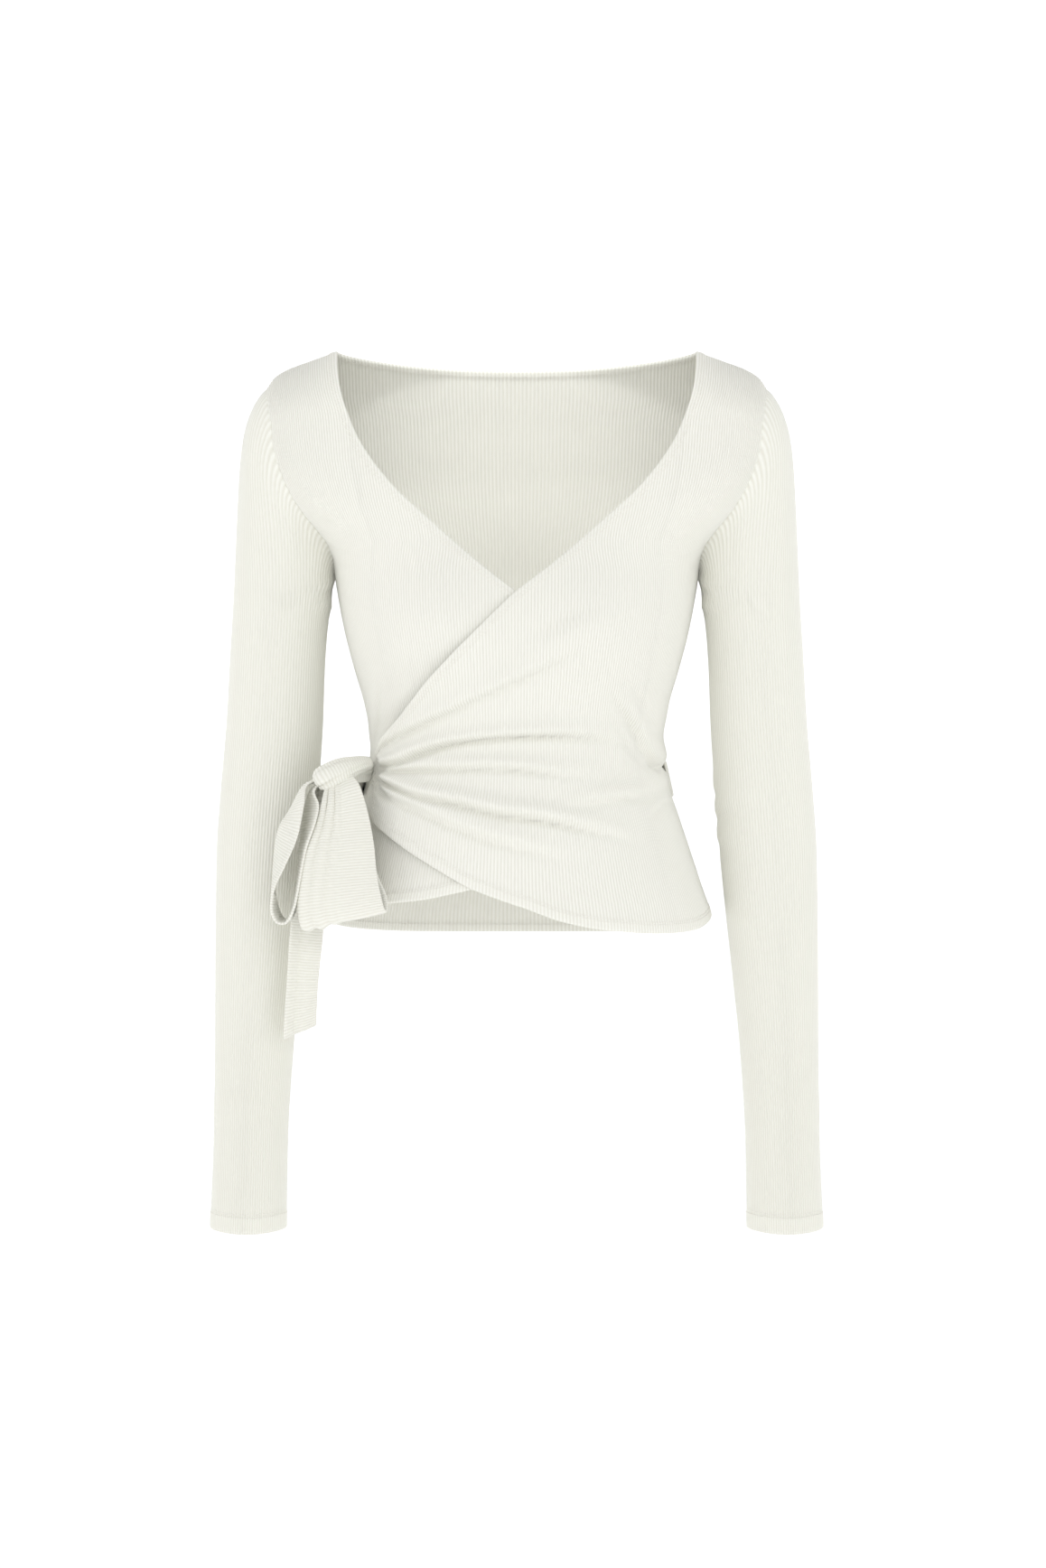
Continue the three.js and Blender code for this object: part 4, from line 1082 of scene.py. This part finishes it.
def strip_piece(name, stations, fold, across, fold_ends=(0.08, 0.0), outward=None):
    """A strip of cloth through stations, each the (x, y, z) of its two edges, with its ribs across it.
    fold lifts it forward over its width; fold_ends are the shares of the length over which that fades."""
    edges = path_of([[*a, *b] for a, b in stations])
    fine = edges(np.linspace(0, 1, 900))
    place = rib_places((fine[:, :3] + fine[:, 3:]) / 2)
    at = edges(place)
    left, right = at[:, None, :3], at[:, None, 3:]
    width = np.linalg.norm(right - left, axis=2)
    step = np.concatenate([[0, 0.012, 0.035], np.linspace(0.08, 0.92, across), [0.965, 0.988, 1]])[None, :]
    points = left + (right - left) * step[..., None]
    grown = unit(np.cross(np.gradient(points, axis=0), np.gradient(points, axis=1)))
    if outward is None:
        grown = np.where(grown[..., 1:2] > 0, -grown, grown)
    elif np.sum(grown * outward(points)) < 0:
        grown = -grown
    ends = np.ones(len(place))
    if fold_ends[0]:
        ends = ends * smooth(place, 0, fold_ends[0])
    if fold_ends[1]:
        ends = ends * (1 - smooth(place, 1 - fold_ends[1], 1))
    lift = profile(fold)(step) * ends[:, None]
    points = points + grown * lift[..., None]
    normals = grid_normals(points, lambda p: grown)
    edge = np.minimum(step, 1 - step) * width
    half = TIE_THICKNESS / 2 * rounded(edge, 0.45, EDGE_ROUND)
    rib = np.arange(len(place))[:, None] / SAMPLES_PER_RIB
    relief = np.clip(edge / 1.5, 0.2, 1)
    return cloth_mesh(name, points, normals, np.zeros_like(half), half, rib, edge, relief)


LEFT_LOOP = [
    ((-141, -60, -311), (-141, -52, -313)), ((-150.5, -66, -317), (-153, -52, -318)),
    ((-152, -76, -330), (-163, -52, -335)),
    ((-156.5, -82, -354), (-171, -52, -348)), ((-165.5, -84, -375), (-174.2, -50, -369)),
    ((-173, -84, -391), (-174.6, -50, -391)), ((-174.8, -83, -406), (-171, -50, -407)),
    ((-171, -82, -414.6), (-166, -50, -414)), ((-164.4, -82, -415), (-161, -50, -411)),
    ((-158.6, -82, -404), (-158.5, -50, -400)), ((-154, -82, -382), (-157, -50, -380)),
    ((-150, -81, -362), (-156.5, -50, -362)), ((-143.5, -79, -343), (-155, -51, -345)),
    ((-141.5, -74, -331), (-152, -52, -331)), ((-145, -66, -321), (-148, -53, -321)),
    ((-139, -60, -314), (-141, -53, -315)),
]
RIGHT_LOOP = [
    ((-136, -60, -313), (-121, -57, -306)), ((-138.5, -68, -325), (-113, -66, -316)),
    ((-140.5, -72, -334), (-109, -69, -327)), ((-144, -75, -346), (-105, -73, -342)),
    ((-150.5, -78, -365), (-101.5, -80, -361)),
    ((-154, -79, -384), (-99.5, -86, -380)), ((-156.5, -78, -403), (-96.5, -91, -395)),
    ((-154, -74, -418), (-93.5, -93, -405.5)), ((-152, -69, -419), (-91.5, -90, -405.5)),
    ((-150, -65, -407), (-92.5, -84, -396)), ((-146, -63, -384), (-99, -79, -381)),
    ((-142, -61, -362), (-105, -72, -360)), ((-137, -58, -340), (-112, -64, -338)),
    ((-133, -56, -318), (-119, -55, -312)),
]
FRONT_TAIL = [
    ((-144, -54, -312), (-133, -52, -312)), ((-147, -49, -326), (-135, -47, -326)),
    ((-149, -45, -352), (-136, -43, -352)),
    ((-156, -44, -385), (-139, -40, -385)), ((-162.5, -44, -417), (-139.5, -40, -419)),
    ((-165.7, -43, -460), (-143.5, -39, -460)), ((-168.3, -42, -500), (-145, -38, -490)),
]
BACK_TAIL = [
    ((-133, -54, -312), (-124, -50, -310)), ((-134, -50, -326), (-123, -48, -326)),
    ((-133, -46, -350), (-120, -46, -350)),
    ((-133, -46, -375), (-118, -50, -373)), ((-133, -47, -402), (-118, -58, -394)),
]
OVER_STRAP = [
    ((-103.5, -26, -299.8), (-104.5, -24, -312.8)), ((-106.8, -34, -299.6), (-108, -32, -314)),
    ((-112, -45, -299.8), (-114, -43, -315)), ((-118, -52, -301), (-119.5, -51, -315)),
    ((-125, -57, -303), (-126, -56, -315)),
]


def make_back_strap():
    """The lower front's tie, from the left side seam round the back of the waist and forward to the knot."""
    stations = []
    for t in np.linspace(0.94, -1, 20):
        edge = []
        for z in (STRAP_Z + STRAP_WIDTH / 2, STRAP_Z - STRAP_WIDTH / 2):
            p = on_form(np.float64(t), np.float64(z), 1)
            away = unit(np.array([p[0] / half_width(z), max(0.0, p[1] / back_depth(z)), 0.0]))
            edge.append(p + away * (STRAP_CLEAR + 0.4 * math.sin(9 * t)))
        stations.append(edge)
    for x, y, share in ((-113.5, -14, 1.0), (-117, -26, 0.8), (-121, -38, 0.5), (-126, -48, 0.4)):
        half = share * STRAP_WIDTH / 2
        stations.append([(x, y, STRAP_Z + 1 + half), (x, y, STRAP_Z + 1 - half)])
    fold = [(0, 0), (0.22, 0.5), (0.3, -0.2), (0.42, 0.9), (0.62, 0.1), (0.8, 0.7), (1, 0)]
    obj = strip_piece("tie_under_cloth", stations, fold, across=12, outward=lambda p: p * [1, 1, 0])
    finish_piece(obj, "tie", 0.8)
    stands_for(obj, "tie_under")
    return obj


KNOT_LINE = [
    (-107, -42, -300.8), (-114, -49.5, -302.3), (-122, -56, -305), (-130.5, -60.5, -308.4), (-138, -62.5, -312),
    (-144, -61, -316),
]
KNOT_COLUMNS, KNOT_FLATNESS = 60, 0.95
# Folds along the knot: the angle each starts at, how far it swings round, and its depth as a share of the radius.
KNOT_FOLDS = ((0.35, 0.5, 0.16), (1.25, -0.5, 0.2), (2.2, 0.3, 0.14), (3.4, 0, 0.14), (5.2, 0, 0.14))


def make_knot():
    """The knot: the strap rolled over the crossing, with soft folds along it and ribs round it."""
    line = path_of(KNOT_LINE)
    place = rib_places(line(np.linspace(0, 1, 300)))
    centre = line(place)
    along = unit(np.gradient(centre, axis=0))
    up = unit(np.cross(np.array([0, -1.0, 0.2]), along))
    out = unit(np.cross(along, up))
    size = profile([(0, 4.4), (0.25, 6.2), (0.6, 8.8), (0.85, 8.6), (0.95, 6.4), (1, 1.2)])(place)
    angle = np.arange(KNOT_COLUMNS) / KNOT_COLUMNS * math.tau
    radius = size[:, None] * (1 + 0.07 * np.cos(2 * angle - 0.8))
    for where, swing, deep in KNOT_FOLDS:
        away = np.angle(np.exp(1j * (angle[None, :] - where - swing * place[:, None])))
        radius = radius - (deep * size * smooth(place, 0.0, 0.12))[:, None] * bump(away, 0.16)
    round_by = up[:, None] * np.cos(angle)[:, None] + out[:, None] * (KNOT_FLATNESS * np.sin(angle))[:, None]
    points = centre[:, None] + round_by * radius[..., None]
    normals = grid_normals(points, lambda p: p - centre[:, None], closed=True)
    half = np.full(points.shape[:2], 0.6)
    rib = np.arange(len(place))[:, None] / SAMPLES_PER_RIB
    obj = cloth_mesh("knot_cloth", points, normals, -half, half, rib, angle * 8, 1.0, closed=True)
    finish_piece(obj, "tie", 0.9)
    stands_for(obj, "knot")
    return obj


# ---- Settings -------------------------------------------------------------------------------------------------------
class WrapTopCloth(bpy.types.PropertyGroup):
    """The knit and its sewing."""

    thickness: FloatProperty(
        name="Thickness", description="Thickness of the knit between its ribs", default=0.0012, unit="LENGTH"
    )
    turning: FloatProperty(
        name="Turning", description="What a turned edge adds on each side", default=0.00055, unit="LENGTH"
    )
    rib_height: FloatProperty(
        name="Rib height", description="How far a rib stands up", default=0.0006, unit="LENGTH"
    )
    front_ribs: IntProperty(
        name="Front ribs", description="Ribs from side seam to side seam in front", default=170, subtype="UNSIGNED"
    )
    back_ribs: IntProperty(
        name="Back ribs", description="Ribs from side seam to side seam behind", default=152, subtype="UNSIGNED"
    )
    sleeve_ribs: IntProperty(name="Sleeve ribs", description="Ribs round a sleeve", default=100, subtype="UNSIGNED")
    course: FloatProperty(
        name="Course", description="Height of one row of knitting", default=0.0013, unit="LENGTH"
    )
    # Painted shade: how far the knit's colour darkens between the ribs, where shade falls.
    valley_shade: FloatProperty(
        name="Valley shade", description="How much darker the knit is between ribs", default=0.62, subtype="FACTOR"
    )
    stitch_step: FloatProperty(
        name="Stitch step", description="Distance from stitch to stitch", default=0.0028, unit="LENGTH"
    )
    thread_radius: FloatProperty(
        name="Thread radius", description="Half the width of a sewn thread", default=0.00034, unit="LENGTH"
    )


class WrapTopColours(bpy.types.PropertyGroup):
    """Colours of the cloth and thread."""

    body: FloatVectorProperty(
        name="Body", description="Fronts and back", default=(0.94, 0.94, 0.885), subtype="COLOR", size=3
    )
    sleeve: FloatVectorProperty(
        name="Sleeves", description="Both sleeves", default=(0.932, 0.934, 0.868), subtype="COLOR", size=3
    )
    tie: FloatVectorProperty(
        name="Ties", description="Straps, knot, loops and tails", default=(0.93, 0.929, 0.868), subtype="COLOR", size=3
    )
    thread: FloatVectorProperty(
        name="Thread", description="Stitches", default=(0.90, 0.885, 0.83), subtype="COLOR", size=3
    )


class WrapTopStage(bpy.types.PropertyGroup):
    """Camera, light and floor."""

    camera_distance: FloatProperty(
        name="Camera distance", description="From the lens to the middle plane", default=3.3, unit="LENGTH"
    )
    frame_height: FloatProperty(
        name="Frame height", description="Height of the picture at the middle plane", default=1.1458, unit="LENGTH"
    )
    daylight: FloatProperty(
        name="Daylight", description="Strength of the even light all round", default=0.66, subtype="FACTOR"
    )
    key: FloatProperty(
        name="Key light", description="Power that the lamps have shares of", default=6.0, unit="POWER"
    )
    floor_drop: FloatProperty(
        name="Floor drop", description="Height of the floor below the cuffs", default=0.09, unit="LENGTH"
    )


# ---- Operators ------------------------------------------------------------------------------------------------------
class WRAPTOP_OT_back(bpy.types.Operator):
    """Make the back, with its wide neck edge"""

    bl_idname = "wraptop.back"
    bl_label = "Back"

    def execute(self, context):
        ribs = context.scene.wrap_top_cloth.back_ribs
        t = rib_columns(-1.0, 1.0, ribs)
        foot = HEM_SIDE_Z - HEM_BACK_DROP * (1 - np.abs(t) ** 3)

        def place(t, z):
            return on_form(t, z, 1)

        z, run = down_the_ribs(place, t, top_of_back(t), foot, NECK_STEPS, HEM_STEPS, 54)
        low, high = int(np.searchsorted(t, -NECK_ACROSS)), int(np.searchsorted(t, NECK_ACROSS)) - 1
        obj = panel("back_cloth", place, t, z, run, 1, back_lift, ribs, (0, low, high))
        stands_for(obj, "back")
        return {"FINISHED"}


class WRAPTOP_OT_fronts(bpy.types.Operator):
    """Make the two crossed fronts, the upper one gathered into its tie"""

    bl_idname = "wraptop.fronts"
    bl_label = "Fronts"

    def execute(self, context):
        under = make_front("front_under_cloth", "front_under", -1, UNDER_HEM, under_lift, 46)
        over = make_front("front_over_cloth", "front_over", 1, OVER_HEM, over_lift, 72)
        return {"FINISHED"}


class WRAPTOP_OT_sleeves(bpy.types.Operator):
    """Make both sleeves"""

    bl_idname = "wraptop.sleeves"
    bl_label = "Sleeves"

    def execute(self, context):
        for name, node, side in (("sleeve_right_cloth", "sleeve_right", -1), ("sleeve_left_cloth", "sleeve_left", 1)):
            obj = make_sleeve(name, node, side)
        return {"FINISHED"}


class WRAPTOP_OT_ties(bpy.types.Operator):
    """Make the strap round the back and the short strap at the gathered corner"""

    bl_idname = "wraptop.ties"
    bl_label = "Ties"

    def execute(self, context):
        back = make_back_strap()
        fold = [(0, 0), (0.2, 1.0), (0.32, 0), (0.5, 1.2), (0.66, 0.1), (0.84, 0.9), (1, 0)]
        over = strip_piece("tie_over_cloth", OVER_STRAP, fold, across=16, fold_ends=(0, 0))
        finish_piece(over, "tie", 0.8)
        stands_for(over, "tie_over")
        return {"FINISHED"}


class WRAPTOP_OT_bow(bpy.types.Operator):
    """Make the knot, the two loops and the two tails"""

    bl_idname = "wraptop.bow"
    bl_label = "Bow"

    def execute(self, context):
        knot = make_knot()
        pleats = [
            (0, 0), (0.07, 2.0), (0.15, 0.2), (0.23, 2.6), (0.33, 0), (0.4, 1.4), (0.47, 0.2), (0.7, 1.0), (1, 0),
        ]
        furrow = [(0, 0), (0.32, -2.6), (0.42, -1), (0.6, 1), (1, 0)]
        parts = [
            ("loop_left", LEFT_LOOP, [(0, 0), (0.5, 0.8), (1, 0)], (0.1, 0.1), (0.034, 0.215), 16),
            ("loop_right", RIGHT_LOOP, pleats, (0.1, 0.1), (0.055, 0.205), 34),
            ("tail_front", FRONT_TAIL, furrow, (0, 0), (0.025, 0.18), 22),
            ("tail_back", BACK_TAIL, [(0, 0), (0.5, 1), (1, 0)], (0, 0), (0.015, 0.075), 10),
        ]
        for node, stations, fold, ends, flat, across in parts:
            obj = strip_piece(f"{node}_cloth", stations, fold, across=across, fold_ends=ends)
            finish_piece(obj, "tie", 0.9)
            stands_for(obj, node)
        return {"FINISHED"}


class WRAPTOP_OT_stitches(bpy.types.Operator):
    """Sew the twin rows on the neck edges, hems and cuffs, and the threads that cross behind them"""

    bl_idname = "wraptop.stitches"
    bl_label = "Stitches"

    def execute(self, context):
        cloth = context.scene.wrap_top_cloth
        rows = line_object("twin_stitches", SEWN_LINES["twin"])
        numbers = {
            "Stitch step": cloth.stitch_step,
            "Stitch length": cloth.stitch_step * STITCH_SHARE,
            "Thread radius": cloth.thread_radius,
        }
        made_by(rows, own_tree(stitch_tree), numbers, own_finish("thread"))
        crossed = [zigzag(line, CROSSING_REACH * MM, CROSSING_STEP * MM) for line in SEWN_LINES["zigzag"]]
        crossing = line_object("crossing_threads", crossed)
        thin = {"Thread radius": cloth.thread_radius * CROSSING_THREAD_SHARE}
        made_by(crossing, own_tree(thread_tree), thin, own_finish("thread"))
        for obj in (rows, crossing):
            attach(obj, "root")
        return {"FINISHED"}


def line_object(name, lines):
    """An object of edges along several lines."""
    mesh = bpy.data.meshes.new(name)
    vertices = np.concatenate(lines)
    edges, start = [], 0
    for line in lines:
        edges += [(start + i, start + i + 1) for i in range(len(line) - 1)]
        start += len(line)
    mesh.from_pydata(vertices.tolist(), edges, [])
    return add_object(name, mesh)


def zigzag(line, reach_out, step):
    """A line that crosses from side to side of another, in the surface as nearly as its bends allow."""
    run = run_along(line)
    count = max(4, int(run[-1] / step))
    even = np.stack([np.interp(np.linspace(0, run[-1], count), run, line[:, k]) for k in range(3)], axis=1)
    along = unit(np.gradient(even, axis=0))
    up = np.where(np.abs(along[:, 2:3]) > 0.75, np.array([[1.0, 0, 0]]), np.array([[0, 0, 1.0]]))
    aside = unit(up - along * np.sum(up * along, axis=1, keepdims=True))
    return even + aside * (reach_out * (-1.0) ** np.arange(count))[:, None]


FLOOR_RADIUS, FLOOR_WALL_Z = 4.8, 2.4
FLOOR_BEND, FLOOR_SIDES = 0.7, 64  # radius of the curve from floor to wall, and sides round
FLOOR_GLOW = 0.27  # keeps the paper white in the top's shade
LAMPS = (  # name, place, width and height, and share of the key light's power
    ("key_light", (-0.5, -2.9, 0.9), (1.3, 1.0), 0.6),
    ("left_light", (-2.2, -1.2, 0.0), (1.0, 1.6), 0.2),
    ("right_light", (2.2, -1.2, 0.0), (1.0, 1.6), 0.2),
)
NECKLINE_LIGHT_SHARE = 1.75
MIDDLE = Vector((0.0046, 0, -0.316))  # what the camera and lamps face


def aim_lamp(data, place, target):
    """Hangs a light and turns it to its target."""
    lamp = add_object(data.name, data)
    lamp.location = place
    lamp.rotation_euler = (target - lamp.location).to_track_quat("-Z", "Y").to_euler()


def make_floor(floor_z):
    """A white floor that curves up into a wall all round."""
    angles = np.linspace(0, math.pi / 2, 14)
    bend_x, bend_z = FLOOR_RADIUS - FLOOR_BEND, floor_z + FLOOR_BEND
    sweep = [(0.001, floor_z)]
    sweep += [(bend_x + FLOOR_BEND * math.sin(a), bend_z - FLOOR_BEND * math.cos(a)) for a in angles]
    sweep.append((FLOOR_RADIUS, FLOOR_WALL_Z))
    around = [math.tau * i / FLOOR_SIDES for i in range(FLOOR_SIDES)]
    vertices = [(r * math.cos(a), r * math.sin(a), z) for a in around for r, z in sweep]
    count = len(sweep)
    faces = [[i * count for i in range(FLOOR_SIDES)]]
    for i in range(FLOOR_SIDES):
        here, beyond = i * count, (i + 1) % FLOOR_SIDES * count
        faces += [(here + k, here + k + 1, beyond + k + 1, beyond + k) for k in range(count - 1)]
    mesh = bpy.data.meshes.new("studio_floor")
    mesh.from_pydata(vertices, [], faces)
    for face in mesh.polygons:
        face.use_smooth = True
    paper, tree = new_material("white_paper")
    look = {"Base Color": (0.96, 0.96, 0.96, 1), "Roughness": 1.0, "Specular IOR Level": 0.0}
    look.update({"Emission Color": (1, 1, 1, 1), "Emission Strength": FLOOR_GLOW})
    close_material(tree, look)
    mesh.materials.append(paper)
    return add_object("studio_floor", mesh)


def light_up(stage):
    """Even daylight, three broad lamps in front and a narrow one down the neckline."""
    world = bpy.data.worlds.new("even_daylight")
    world.use_nodes = True
    daylight = world.node_tree.nodes["Background"].inputs
    daylight["Color"].default_value = (1, 1, 1, 1)
    daylight["Strength"].default_value = stage.daylight
    bpy.context.scene.world = world
    for name, place, size, share in LAMPS:
        data = bpy.data.lights.new(name, "AREA")
        data.shape = "RECTANGLE"
        data.size, data.size_y = size
        data.energy = stage.key * share
        aim_lamp(data, place, MIDDLE)
    spot = bpy.data.lights.new("neckline_light", "SPOT")
    spot.energy = stage.key * NECKLINE_LIGHT_SHARE
    spot.spot_size, spot.spot_blend, spot.shadow_soft_size = 0.42, 1.0, 0.05
    aim_lamp(spot, (0, -0.40, 0.50), Vector((0, 0.075, -0.10)))


def place_camera(stage):
    """A level camera in front, as far away as the stage gives, with plain colours in its picture."""
    data = bpy.data.cameras.new("camera")
    data.lens = data.sensor_width * stage.camera_distance / stage.frame_height
    camera = add_object("camera", data)
    camera.location = MIDDLE + Vector((0, -stage.camera_distance, 0))
    camera.rotation_euler = (math.pi / 2, 0, 0)
    bpy.context.scene.camera = camera
    bpy.context.scene.view_settings.view_transform = "Standard"


class WRAPTOP_OT_stage(bpy.types.Operator):
    """Make the floor that curves up all round, the lights and the camera"""

    bl_idname = "wraptop.stage"
    bl_label = "Stage"

    def execute(self, context):
        stage = context.scene.wrap_top_stage
        make_floor(CAD_LOW.z - stage.floor_drop)
        light_up(stage)
        place_camera(stage)
        return {"FINISHED"}


class WRAPTOP_PT_panel(bpy.types.Panel):
    """The pieces of the top, in the order they are made"""

    bl_label = "Wrap Top"
    bl_idname = "WRAPTOP_PT_panel"
    bl_space_type = "VIEW_3D"
    bl_region_type = "UI"
    bl_category = "Wrap Top"

    def draw(self, context):
        for operator in STEPS:
            self.layout.operator(operator.bl_idname)
        for name, group in GROUPS:
            box = self.layout.box()
            for key in group.__annotations__:
                box.prop(getattr(context.scene, name), key)


STEPS = (
    WRAPTOP_OT_back,
    WRAPTOP_OT_fronts,
    WRAPTOP_OT_sleeves,
    WRAPTOP_OT_ties,
    WRAPTOP_OT_bow,
    WRAPTOP_OT_stitches,
    WRAPTOP_OT_stage,
)
GROUPS = (
    ("wrap_top_cloth", WrapTopCloth),
    ("wrap_top_colours", WrapTopColours),
    ("wrap_top_stage", WrapTopStage),
)


def register():
    for name, group in GROUPS:
        bpy.utils.register_class(group)
        setattr(bpy.types.Scene, name, PointerProperty(type=group))
    for step in STEPS:
        bpy.utils.register_class(step)
    bpy.utils.register_class(WRAPTOP_PT_panel)


def unregister():
    bpy.utils.unregister_class(WRAPTOP_PT_panel)
    for step in reversed(STEPS):
        bpy.utils.unregister_class(step)
    for name, group in reversed(GROUPS):
        delattr(bpy.types.Scene, name)
        bpy.utils.unregister_class(group)


def main():
    register()
    bpy.ops.wraptop.back()
    bpy.ops.wraptop.fronts()
    bpy.ops.wraptop.sleeves()
    bpy.ops.wraptop.ties()
    bpy.ops.wraptop.bow()
    bpy.ops.wraptop.stitches()
    bpy.ops.wraptop.stage()


if __name__ == "__main__":
    main()
